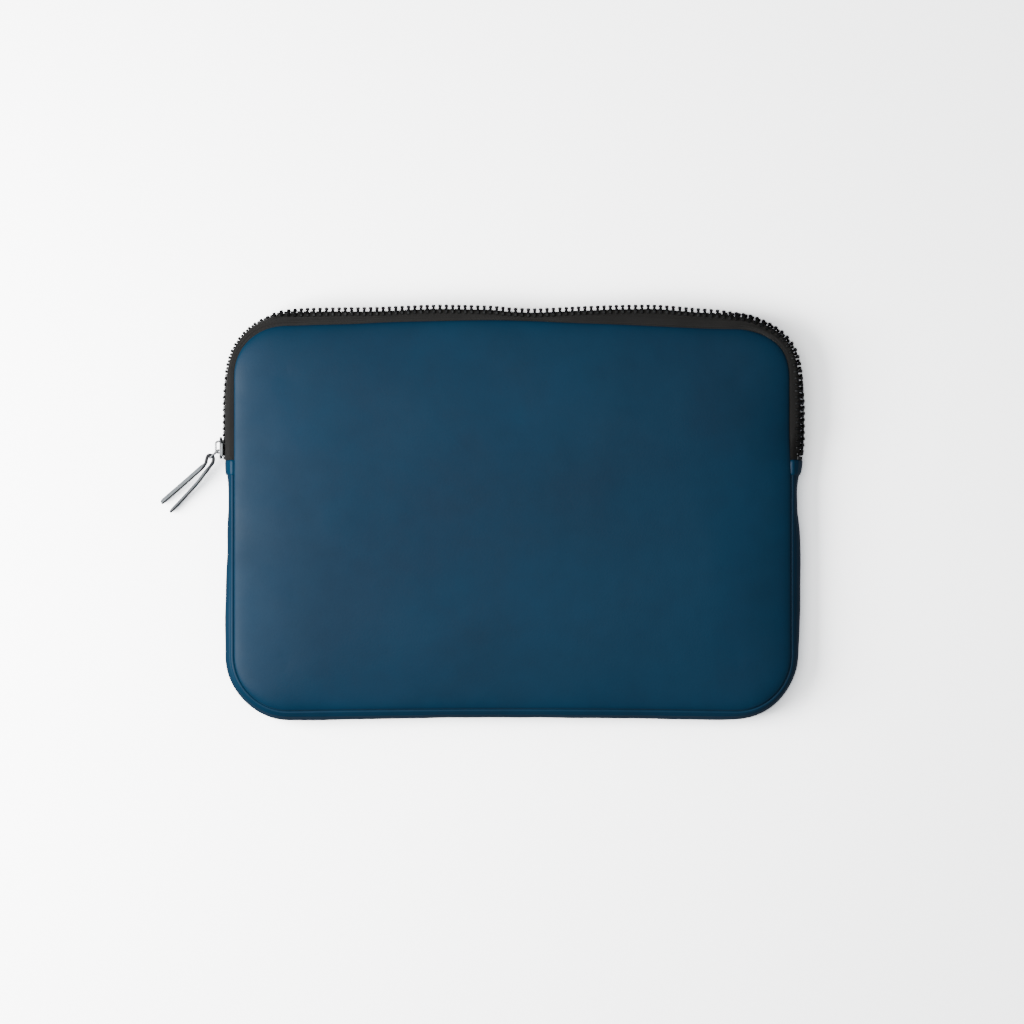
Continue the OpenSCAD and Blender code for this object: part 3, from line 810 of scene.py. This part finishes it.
f_angle = table([0, 50, 62, 72, 88, 98, 106, 114, 124, 136, 398, 412, 427, 445, 470, 500, 511, 523, 526],
                [-90, -90, -100, -110, -108, -90, -62, -36, -14, -6, -6, -20, -25, -12, -8, -10, -24, -42, -42])
f_out = table([0, 40, 50, 58, 70, 88, 98, 106, 114, 124, 145, 170, 190, 214, 247, 262, 277, 295, 314, 335, 354, 383, 400, 412, 427, 436, 443, 452, 463, 472, 489, 511, 518, 526],
              [5.9, 5.8, 5.1, 4.3, 3.7, 3.7, 4.0, 4.2, 4.2, 4.7, 5.2, 5.4, 6.2, 7.0, 6.4, 5.1, 4.5, 5.3, 6.1, 6.8, 7.0, 4.9, 3.6, 2.0, 1.5, 2.3, 3.3, 3.9, 3.8, 4.3, 4.8, 4.8, 4.8, 5.2])
f_z = table([0, 50, 72, 98, 106, 114, 124, 136, 240, 277, 320, 400, 505, 523, 526],
            [4.4, 4.4, 4.6, 6.0, 7.4, 8.5, 9.1, 9.3, 9.6, 9.0, 9.6, 9.2, 9.2, 5.8, 5.6])
b_angle = table([0, 50, 62, 72, 88, 98, 108, 121, 150, 168, 182, 390, 412, 427, 505, 523, 526],
                [-90, -90, -98, -104, -100, -84, -66, -52, -50, -56, -62, -62, -30, -12, -12, -42, -42])
b_out = table([0, 40, 50, 70, 95, 106, 121, 135, 150, 166, 182, 390, 412, 427, 443, 452, 463, 472, 489, 511, 518, 526],
              [5.9, 5.8, 5.1, 3.9, 4.0, 3.9, 3.7, 3.6, 3.5, 3.3, 3.1, 3.0, 2.2, 1.7, 3.2, 4.0, 4.4, 5.1, 6.4, 6.3, 5.7, 5.2])
b_z = table([0, 50, 72, 98, 110, 122, 150, 166, 182, 390, 427, 505, 523, 526],
            [4.4, 4.4, 4.6, 5.8, 6.8, 7.4, 7.4, 7.3, 7.2, 7.2, 9.0, 9.0, 5.8, 5.6])


def row(s, up):
    """Place of a row of teeth: out from the seam, height above or below the middle, and its direction."""
    if up > 0:
        a, o, z = math.radians(float(f_angle(s))), float(f_out(s)), float(f_z(s))
    else:
        a, o, z = math.radians(float(b_angle(s))), float(b_out(s)), float(b_z(s))
    return a, o, z


def tape_curve(s, up, n=12):
    """The tape across its width, from its sewn edge under the cover to the bead in the teeth."""
    a, o, z = row(s, up)
    x, y, nx, ny = zip_path(s)
    base = 0.0
    if up > 0:
        dx, dy = drawn(x, y)
        base = float(dx) * nx + float(dy) * ny
    d = np.array([math.cos(a), math.sin(a)])
    o = np.array([o, z])
    p0 = np.array([base + 0.2, 8.95])
    p3 = o + 0.9 * d
    p2 = o - 4.6 * d
    if p2[0] < base + 0.5:
        p2[0] = base + 0.5
    p1 = p0 + np.array([max(p2[0] - p0[0], 0.3) * 0.55, 0.35])
    t = np.linspace(0, 1, n)[:, None]
    c = (1 - t) ** 3 * p0 + 3 * t * (1 - t) ** 2 * p1 + 3 * t * t * (1 - t) * p2 + t**3 * p3
    c = np.vstack([[base - 3.6, 8.42], [base - 1.6, 8.55], c])
    return c


def tape(name, up, s0, s1, step):
    rings, weave = [], []
    for s in np.linspace(s0, s1, int((s1 - s0) / step) + 1):
        c = tape_curve(s, up)
        t = np.gradient(c, axis=0)
        t /= np.linalg.norm(t, axis=1)[:, None]
        nrm = np.column_stack([-t[:, 1], t[:, 0]])
        w = np.concatenate([[0], np.cumsum(np.linalg.norm(np.diff(c, axis=0), axis=1))])
        h = np.full(len(c), 0.38)
        h[-1], h[-2], h[-3] = 0.55, 0.62, 0.48    # corded bead at the free edge
        h[0] = 0.3
        top, low = c + nrm * h[:, None], c - nrm * h[:, None]
        sec = np.vstack([top, low[::-1]])
        ww = np.concatenate([w, w[::-1] + 0.4])
        x, y, nx, ny = zip_path(s)
        wob = 0.0
        rings.append([(x + nx * (p[0] + wob), y + ny * (p[0] + wob), MID + up * p[1]) for p in sec])
        weave += [(s, q, 0) for q in ww]
    v, f = loft(rings)
    return piece(name, v, f, TAPE_MAT, attrs={"weave": weave}, flip=(up < 0))


front_tape = tape("front_zip_tape", 1, 0.3, ZIP_L - 0.3, 1.8)
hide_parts("zip_tape_front", "zip_tape_left_stub", "zip_tape_right_stub")
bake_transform(front_tape)
back_tape = tape("back_zip_tape", -1, 0.3, ZIP_L - 0.3, 1.8)
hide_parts("zip_tape_back")
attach(back_tape, "root")


def tooth_mesh():
    """One moulded tooth: two rounded jaws on the bead, a waist, and a head with a nib raised on both faces. Axes: out
    along the row direction, across, along the zip.
    """
    bm = bmesh.new()

    def block(sections):
        """Sections of (r, c0, c1, half thickness)."""
        rings = []
        for r, c0, c1, h in sections:
            q = min((c1 - c0) * 0.28, h * 0.5, 0.38)
            pts = [(c0 + q, -h), (c1 - q, -h), (c1, -h + q), (c1, h - q), (c1 - q, h), (c0 + q, h), (c0, h - q), (c0, -h + q)]
            rings.append([bm.verts.new((r, c, t)) for c, t in pts])
        for a, b in zip(rings, rings[1:]):
            for k in range(8):
                bm.faces.new((a[k], a[(k + 1) % 8], b[(k + 1) % 8], b[k]))
        bm.faces.new(rings[0][::-1])
        bm.faces.new(rings[-1])

    for g in (1, -1):
        jaw = [(-2.3, 0.75, 1.35, 0.55), (-2.1, 0.68, 1.75, 0.86), (-1.2, 0.66, 2.05, 1.0), (0.1, 0.66, 2.05, 1.0), (0.9, 0.62, 1.9, 0.98), (1.25, 0.1, 1.75, 0.95)]
        block([(r, c0, c1, h) if g > 0 else (r, -c1, -c0, h) for r, c0, c1, h in jaw])
    block([(0.95, -1.75, 1.75, 0.96), (1.5, -1.62, 1.62, 0.96), (1.95, -1.3, 1.3, 0.86), (2.5, -1.36, 1.36, 0.94), (3.1, -1.55, 1.55, 1.15), (3.5, -1.5, 1.5, 1.12), (3.78, -1.2, 1.2, 0.82)])
    block([(2.35, -0.5, 0.5, 1.10), (2.6, -0.75, 0.75, 1.32), (3.0, -0.75, 0.75, 1.36), (3.3, -0.5, 0.5, 1.18)])
    bm.normal_update()
    bmesh.ops.recalc_face_normals(bm, faces=bm.faces[:])
    v = np.array([tuple(x.co) for x in bm.verts])
    f = [tuple(x.index for x in fc.verts) for fc in bm.faces]
    bm.free()
    return v, f


TOOTH_V, TOOTH_F = tooth_mesh()
TOOTH_WEAR = np.clip((TOOTH_V[:, 0] - 2.4) / 1.3, 0, 1) * 0.75 + 0.25 * (np.abs(TOOTH_V[:, 1]) > 1.5)


def teeth(name, at, up, wear_scale=1.0):
    vs, fs, ws = [], [], []
    for j, s in enumerate(at):
        a, o, z = row(s, up)
        x, y, nx, ny = zip_path(s)
        jit = 0.5 * math.sin(12.9898 * (j + 1) * up)
        a = a + math.radians(2.0 * jit)
        ca, sa = math.cos(a), math.sin(a) * 1.0
        r, c, t = TOOTH_V[:, 0], TOOTH_V[:, 1], TOOTH_V[:, 2]
        yaw = math.radians(2.2 * math.sin(7.31 * (j + 3)))
        r2, t2 = r * math.cos(yaw) - t * math.sin(yaw), r * math.sin(yaw) + t * math.cos(yaw)
        out = o + r2 * ca - c * sa
        hgt = z + r2 * sa + c * ca
        vs.append(np.column_stack([x + nx * out + ny * t2, y + ny * out - nx * t2, MID + up * hgt]))
        k = len(TOOTH_V) * len(fs)
        fs.append([tuple(k + i for i in f) for f in TOOTH_F])
        ws.append(TOOTH_WEAR * wear_scale * (0.75 + 0.25 * math.sin(3.7 * j)))
    ob = piece(name, np.vstack(vs), [f for g in fs for f in g], TEETH_MAT, attrs={"wear": np.concatenate(ws)}, sharp=38)
    bm = bmesh.new()
    bm.from_mesh(ob.data)
    bmesh.ops.recalc_face_normals(bm, faces=bm.faces[:])
    bm.to_mesh(ob.data)
    bm.free()
    return ob


half = math.floor((ZIP_L / 2 - 4.2) / PITCH - 0.5) + 1
front_at = sorted(ZIP_L / 2 + g * (j + 0.5) * PITCH for j in range(half) for g in (-1, 1))
back_at = [ZIP_L / 2 + j * PITCH for j in range(-(half - 1), half)]
MEET = (BLEND_ZIP[0][1] + BLEND_ZIP[1][1]) * 500
front_teeth = teeth("front_teeth", [q for q in front_at if zip_path(q)[1] > MEET], 1)
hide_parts("zip_teeth_front")
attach(front_teeth, "mouth_flap")
end_teeth = teeth("front_end_teeth", [q for q in front_at if zip_path(q)[1] <= MEET], 1)
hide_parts("zip_teeth_front_ends")
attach(end_teeth, "root")
back_teeth = teeth("back_teeth", back_at, -1)
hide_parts("zip_teeth_back")
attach(back_teeth, "root")


# ---------------------------------------------------------------- rounded solids for the metal pieces
def rounded(name, verts, faces, bevel, mat, slot, wear=0.5, segments=3, sharp=40):
    """Solid with its edges rolled over by a bevel, applied to the mesh."""
    bm = bmesh.new()
    vs = [bm.verts.new(Vector(v) * 0.001) for v in verts]
    for f in faces:
        bm.faces.new([vs[int(i)] for i in f])
    bmesh.ops.recalc_face_normals(bm, faces=bm.faces[:])
    edges = [e for e in bm.edges if len(e.link_faces) == 2 and e.calc_face_angle(0) > math.radians(24)]
    bmesh.ops.bevel(bm, geom=edges, offset=bevel * 0.001, segments=segments, profile=0.6, affect="EDGES", clamp_overlap=True)
    bmesh.ops.remove_doubles(bm, verts=bm.verts[:], dist=1e-6)
    bmesh.ops.recalc_face_normals(bm, faces=bm.faces[:])
    me = bpy.data.meshes.new(name)
    bm.to_mesh(me)
    bm.free()
    ob = bpy.data.objects.new(name, me)
    scene.collection.objects.link(ob)
    me.polygons.foreach_set("use_smooth", [True] * len(me.polygons))
    me.set_sharp_from_angle(angle=math.radians(sharp))
    co = np.zeros(len(me.vertices) * 3)
    me.vertices.foreach_get("co", co)
    me.attributes.new("wear", "FLOAT", "POINT").data.foreach_set("value", np.full(len(me.vertices), wear, np.float32))
    me.materials.append(mat)
    return ob


def prism(outline, lo, hi, axis):
    """Prism of a closed outline of points between lo and hi along an axis (0 X, 1 Y, 2 Z)."""
    n = len(outline)

    def p(q, h):
        return {0: (h, q[0], q[1]), 1: (q[0], h, q[1]), 2: (q[0], q[1], h)}[axis]
    v = [p(q, lo) for q in outline] + [p(q, hi) for q in outline]
    f = [tuple(range(n - 1, -1, -1)), tuple(range(n, 2 * n))] + [(k, (k + 1) % n, n + (k + 1) % n, n + k) for k in range(n)]
    return v, f


def joined(parts):
    v, f = [], []
    for a, b in parts:
        k = len(v)
        v += list(a)
        f += [tuple(k + i for i in x) for x in b]
    return v, f


def join_objects(name, obs):
    """Joins finished meshes into the first, keeping their attributes."""
    with bpy.context.temp_override(active_object=obs[0], selected_editable_objects=obs):
        bpy.ops.object.join()
    obs[0].name = name
    return obs[0]


# stops
x0 = -HW - 7.4
staple = [(x0, ZIP_Y + 0.9, MID - 4.6), (x0, ZIP_Y + 0.9, MID + 4.6)]
v, f = prism([(ZIP_Y + 0.8, MID - 4.6), (ZIP_Y + 2.9, MID - 4.6), (ZIP_Y + 2.9, MID - 2.4), (ZIP_Y + 2.6, MID), (ZIP_Y + 2.9, MID + 2.4), (ZIP_Y + 2.9, MID + 4.6), (ZIP_Y + 0.8, MID + 4.6),
              (ZIP_Y + 0.8, MID + 2.4), (ZIP_Y + 1.1, MID), (ZIP_Y + 0.8, MID - 2.4)], x0, x0 + 2.5, 0)
bottom_stop = rounded("bottom_stop", v, f, 0.45, TEETH_MAT, "zip_teeth", wear=0.5)
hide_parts("zip_bottom_stop")
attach(bottom_stop, "root")

tops = []
for up in (1, -1):
    a, o, z = row(ZIP_L - 1.6, up)
    x, y, nx, ny = zip_path(ZIP_L - 1.6)
    prof = [(-2.3, 0.7), (-2.3, 1.9), (0.4, 2.2), (2.2, 1.8), (3.0, 0.9), (3.0, -0.9), (2.2, -1.8), (0.4, -2.2), (-2.3, -1.9), (-2.3, -0.7), (0.9, -0.7), (0.9, 0.7)]
    v, f = prism(prof, -1.1, 1.1, 2)
    w = []
    for r, c, t in v:
        out, hgt = o + r * math.cos(a) - c * math.sin(a), z + r * math.sin(a) + c * math.cos(a)
        w.append((x + nx * out, y - t * nx, MID + up * hgt))
    tops.append(rounded(f"top_stop_{'front' if up > 0 else 'back'}", w, f, 0.3, TEETH_MAT, "zip_teeth", wear=0.5, segments=2))
top_stops = join_objects("top_stops", tops)
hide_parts("zip_top_stops")
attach(top_stops, "root")

# ---------------------------------------------------------------- slider
sy0, sy1 = SL0, SL1


def plate_outline(grow=0.0):
    return [(sy0 - grow, MID - 5.6), (sy0 + 0.7, MID - 7.3 - grow), (sy0 + 2.2, MID - 8.1 - grow), (sy1 - 4, MID - 8.1 - grow), (sy1 - 1.9, MID - 7.5 - grow), (sy1 - 0.5, MID - 6.0),
            (sy1 + grow, MID - 3.8), (sy1 - 0.3, MID - 1.9), (sy1 - 1.1, MID - 0.6), (sy1 - 1.1, MID + 0.6), (sy1 - 0.3, MID + 1.9), (sy1 + grow, MID + 3.8),
            (sy1 - 0.5, MID + 6.0), (sy1 - 1.9, MID + 7.5 + grow), (sy1 - 4, MID + 8.1 + grow), (sy0 + 2.2, MID + 8.1 + grow), (sy0 + 0.7, MID + 7.3 + grow), (sy0 - grow, MID + 5.6)]


outer = rounded("slider_outer_plate", *prism(plate_outline(), CHAIN_X - 3.8, CHAIN_X - 2.5, 0), 0.5, SLIDER_MAT, "slider_metal", wear=0.55)
inner = rounded("slider_inner_plate", *prism(plate_outline(), CHAIN_X + 2.5, CHAIN_X + 3.7, 0), 0.45, SLIDER_MAT, "slider_metal", wear=0.4)
post = rounded("slider_post", *prism([(sy1 - 5.6, MID - 0.2), (sy1 - 4.6, MID - 0.75), (sy1 - 2.2, MID - 0.5), (sy1 - 1.8, MID), (sy1 - 2.2, MID + 0.5), (sy1 - 4.6, MID + 0.75), (sy1 - 5.6, MID + 0.2)],
                                     CHAIN_X - 2.7, CHAIN_X + 2.7, 0), 0.12, SLIDER_MAT, "slider_metal", wear=0.2)
parts = [outer, inner, post]
for z0 in (MID - 8.1, MID + 7.0):
    for a, b in ((CHAIN_X - 2.8, CHAIN_X - 1.45), (CHAIN_X + 1.45, CHAIN_X + 2.8)):
        parts.append(rounded("slider_flange", *prism([(sy0 + 1.7, z0), (sy1 - 4.2, z0), (sy1 - 4.2, z0 + 1.1), (sy0 + 1.7, z0 + 1.1)], a, b, 0), 0.3, SLIDER_MAT, "slider_metal", wear=0.5))
# raised rib that the bail stands on
parts.append(rounded("slider_rib", *prism([(sy0 + 2.6, MID - 2.3), (sy1 - 1.9, MID - 2.3), (sy1 - 1.6, MID - 1.6), (sy1 - 1.6, MID + 1.6), (sy1 - 1.9, MID + 2.3), (sy0 + 2.6, MID + 2.3), (sy0 + 2.2, MID + 1.6), (sy0 + 2.2, MID - 1.6)],
                                         CHAIN_X - 4.0, CHAIN_X - 3.6, 0), 0.18, SLIDER_MAT, "slider_metal", wear=0.5))
slider = join_objects("slider", parts)
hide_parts("slider_body")
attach(slider, "zip_slider")


def tube(path, radius, sides=12, closed=False, flat=(1.0, 1.0), up=(0, 0, 1)):
    """Bar of round or oval section along a path, with its second axis kept near up."""
    p = np.asarray(path, float)
    n = len(p)
    rad = np.broadcast_to(np.asarray(radius, float), (n,))
    if closed:
        t = np.roll(p, -1, 0) - np.roll(p, 1, 0)
    else:
        t = np.gradient(p, axis=0)
    t /= np.linalg.norm(t, axis=1)[:, None]
    u = np.broadcast_to(np.array(up, float), p.shape)
    a = np.cross(t, u)
    a /= np.maximum(np.linalg.norm(a, axis=1), 1e-9)[:, None]
    b = np.cross(a, t)
    rings = []
    for k in range(n):
        ang = np.linspace(0, 2 * math.pi, sides, endpoint=False)
        rings.append(p[k] + rad[k] * (flat[0] * np.cos(ang)[:, None] * a[k] + flat[1] * np.sin(ang)[:, None] * b[k]))
    return loft(rings, closed=closed)


def smooth_path(pts, n=10, closed=False):
    """Catmull-Rom curve through points."""
    p = [np.array(q, float) for q in pts]
    m = len(p)
    out = []
    for k in range(m if closed else m - 1):
        p0 = p[(k - 1) % m] if closed or k > 0 else 2 * p[0] - p[1]
        p1, p2 = p[k], p[(k + 1) % m]
        p3 = p[(k + 2) % m] if closed or k < m - 2 else 2 * p[-1] - p[-2]
        for j in range(n):
            t = j / n
            out.append(0.5 * (2 * p1 + (p2 - p0) * t + (2 * p0 - 5 * p1 + 4 * p2 - p3) * t * t + (3 * p1 - p0 - 3 * p2 + p3) * t**3))
    if not closed:
        out.append(p[-1])
    return np.array(out)


bx = CHAIN_X - 3.75
by0, by1 = sy0 + 3.3, sy1 - 2.3
arch = smooth_path([(bx + 0.35, by0 + 0.7, MID), (bx - 0.9, by0 + 0.65, MID), (bx - 2.1, by0 + 1.0, MID), (bx - 2.85, by0 + 2.0, MID), (bx - 2.85, (by0 + by1) / 2, MID),
                    (bx - 2.85, by1 - 2.0, MID), (bx - 2.1, by1 - 1.0, MID), (bx - 0.9, by1 - 0.65, MID), (bx + 0.35, by1 - 0.7, MID)], 6)
v, f = tube(arch, 0.66, 14, flat=(1.0, 2.3))
bail = piece("slider_loop", v, f, LINK_MAT, attrs={"wear": np.full(len(v), 0.6)}, sharp=50)
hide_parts("slider_bail")
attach(bail, "zip_slider")

# ---------------------------------------------------------------- link and strap
PIV = np.array([bx - 1.15, by0 + 2.5, MID])
LA = math.radians(47)
LD = np.array([-math.sin(LA), -math.cos(LA), 0.0])
LLEN = 7.6
FOLD = PIV + LLEN * LD
loop = []
for l, z in [(0.0, -2.7), (0.0, 2.7), (0.45, 3.55), (1.3, 3.85), (LLEN - 1.3, 3.85), (LLEN - 0.45, 3.55), (LLEN, 2.7), (LLEN, -2.7), (LLEN - 0.45, -3.55), (LLEN - 1.3, -3.85), (1.3, -3.85), (0.45, -3.55)]:
    loop.append(PIV + LD * l + np.array([0, 0, z]))
cross = np.cross(LD, [0, 0, 1])
v, f = tube(smooth_path(loop, 5, closed=True), 0.62, 12, closed=True, up=tuple(cross))
link = piece("pull_ring", v, f, LINK_MAT, attrs={"wear": np.full(len(v), 0.7)})
bm = bmesh.new()
bm.from_mesh(link.data)
bmesh.ops.recalc_face_normals(bm, faces=bm.faces[:])
bm.to_mesh(link.data)
bm.free()
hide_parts("pull_link")
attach(link, "link")

SW = 5.4
# Middle line of the folded strap, seen from above: up one tail, round the ring's bar, and down the other tail
about = [(-3.35, -4.3), (-2.45, -1.7), (-1.9, 0.4), (-0.9, 1.75), (0.65, 1.85), (1.85, 1.0), (2.3, -0.7), (1.75, -3.2), (-0.5, -6.4), (-3.5, -10.1)]
plan = smooth_path([(-235.0, 8.9, 0), (-228.6, 14.4, 0), (-217.8, 23.6, 0), (-209.4, 30.8, 0)] + [(FOLD[0] + x, FOLD[1] + y, 0) for x, y in about] + [(-210.6, 22.2, 0), (-219.5, 12.6, 0), (-229.1, 2.7, 0)], 8)
far = np.linalg.norm(plan[:, :2] - FOLD[:2], axis=1)
z_of = table([0, 5, 10, 18, 30, 42, 46], [0.0, -0.05, -1.0, -3.2, -6.4, -8.1, -(MID - SW / 2 - 0.75)])
path = plan + np.column_stack([0 * far, 0 * far, MID + z_of(far)])
tan = np.gradient(path, axis=0)
tan /= np.linalg.norm(tan, axis=1)[:, None]
nrm = np.cross(tan, [0, 0, 1])
nrm /= np.linalg.norm(nrm, axis=1)[:, None]
wid = np.cross(nrm, tan)
# The tails lean over, away from the light side, once they are clear of the fold
lean = np.where(np.arange(len(path)) < len(path) / 2, math.radians(27), math.radians(15)) * table([0, 4, 10, 50], [0.0, 0.0, 1.0, 1.0])(far)
side = np.sign(nrm @ np.array([0.7, -0.7, 0.0]))
wid = wid * np.cos(lean)[:, None] + nrm * (side * np.sin(lean))[:, None]
nrm = np.cross(tan, wid)
half_t, half_w, q = 0.75, SW / 2, 0.34
thick_of = table([0, 5, 11, 50], [1.4, 1.4, 1.0, 1.0])(far)
sec = [(half_t, -half_w + q), (half_t, -half_w / 2), (half_t, 0), (half_t, half_w / 2), (half_t, half_w - 0.5), (half_t, half_w - q), (half_t - 0.1, half_w - 0.1), (half_t - q, half_w), (0, half_w + 0.04),
       (q - half_t, half_w), (0.1 - half_t, half_w - 0.1), (-half_t, half_w - q), (-half_t, half_w - 0.5), (-half_t, half_w / 2), (-half_t, 0), (-half_t, -half_w / 2), (-half_t, q - half_w), (0.1 - half_t, 0.1 - half_w),
       (q - half_t, -half_w), (0, -half_w - 0.04), (half_t - q, -half_w), (half_t - 0.1, 0.1 - half_w)]
core_of = [1.0 if abs(b) > half_w - 0.3 else 0.0 for a, b in sec]
rings, core = [], []
m = len(path)
for k in range(m):
    end = min(k, m - 1 - k)
    thin = {0: 0.55, 1: 0.9}.get(end, 1.0) * thick_of[k]
    low = 0.74 if end == 0 else 0.94 if end == 1 else 1.0
    rings.append([path[k] + nrm[k] * a * thin + wid[k] * b * low for a, b in sec])
    core += [1.0] * len(sec) if end == 0 else core_of
v, f = loft(rings)
strap = piece("pull_tails", v, f, STRAP_MAT, attrs={"core": core}, sharp=60)
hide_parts("pull_strap")
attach(strap, "strap")

# ---------------------------------------------------------------- stage, light and camera
fm = bpy.data.materials.new("studio_floor")
fm.use_nodes = True
ft = fm.node_tree
ft.nodes.clear()
fn = Net(ft)
pale = fn.mixc(fn.noise(fn.coords(), 3, 2), (6.4, 6.4, 6.4), (6.7, 6.7, 6.7))
paper = fn.node("ShaderNodeBsdfDiffuse", {"Color": pale, "Roughness": 0.0})
ft.links.new(paper.outputs[0], ft.nodes.new("ShaderNodeOutputMaterial").inputs[0])
me = bpy.data.meshes.new("studio_floor")
me.from_pydata([(-6, -6, -0.0001), (6, -6, -0.0001), (6, 6, -0.0001), (-6, 6, -0.0001)], [], [(0, 1, 2, 3)])
me.materials.append(fm)
floor = bpy.data.objects.new("studio_floor", me)
scene.collection.objects.link(floor)
floor.visible_diffuse = False
floor.visible_glossy = False

world = bpy.data.worlds.new("studio")
world.use_nodes = True
bg = world.node_tree.nodes["Background"]
bg.inputs[0].default_value = (0.96, 0.98, 1.0, 1)
bg.inputs[1].default_value = 0.20
scene.world = world


def area(name, at, aim, size, power, colour=(1, 1, 1)):
    d = bpy.data.lights.new(name, "AREA")
    d.shape = "RECTANGLE"
    d.size, d.size_y = size
    d.energy = power
    d.color = colour
    o = bpy.data.objects.new(name, d)
    scene.collection.objects.link(o)
    o.location = at
    o.rotation_mode = "QUATERNION"
    o.rotation_quaternion = (Vector(aim) - Vector(at)).to_track_quat("-Z", "Y")
    return o


area("key", (-0.78, -0.04, 0.62), (-0.06, 0, 0), (0.6, 0.8), 11.5)
area("top", (-0.35, 0.1, 1.7), (-0.05, 0, 0), (0.9, 0.9), 4.6)

cam = bpy.data.cameras.new("camera")
cam.lens, cam.sensor_width = 200, 36
camera = bpy.data.objects.new("camera", cam)
scene.collection.objects.link(camera)
camera.location = (-0.00033, 0.00267, 0.018 + 0.6827 * 200 / 36)
camera.rotation_euler = (0, 0, 0)
scene.camera = camera

# Every closed piece faces outward
for ob in bpy.data.objects:
    if ob.type == "MESH" and ob.name not in cad_names and ob is not floor:
        bm = bmesh.new()
        bm.from_mesh(ob.data)
        if bm.calc_volume(signed=True) < 0:
            bmesh.ops.reverse_faces(bm, faces=bm.faces[:])
            bm.to_mesh(ob.data)
        bm.free()
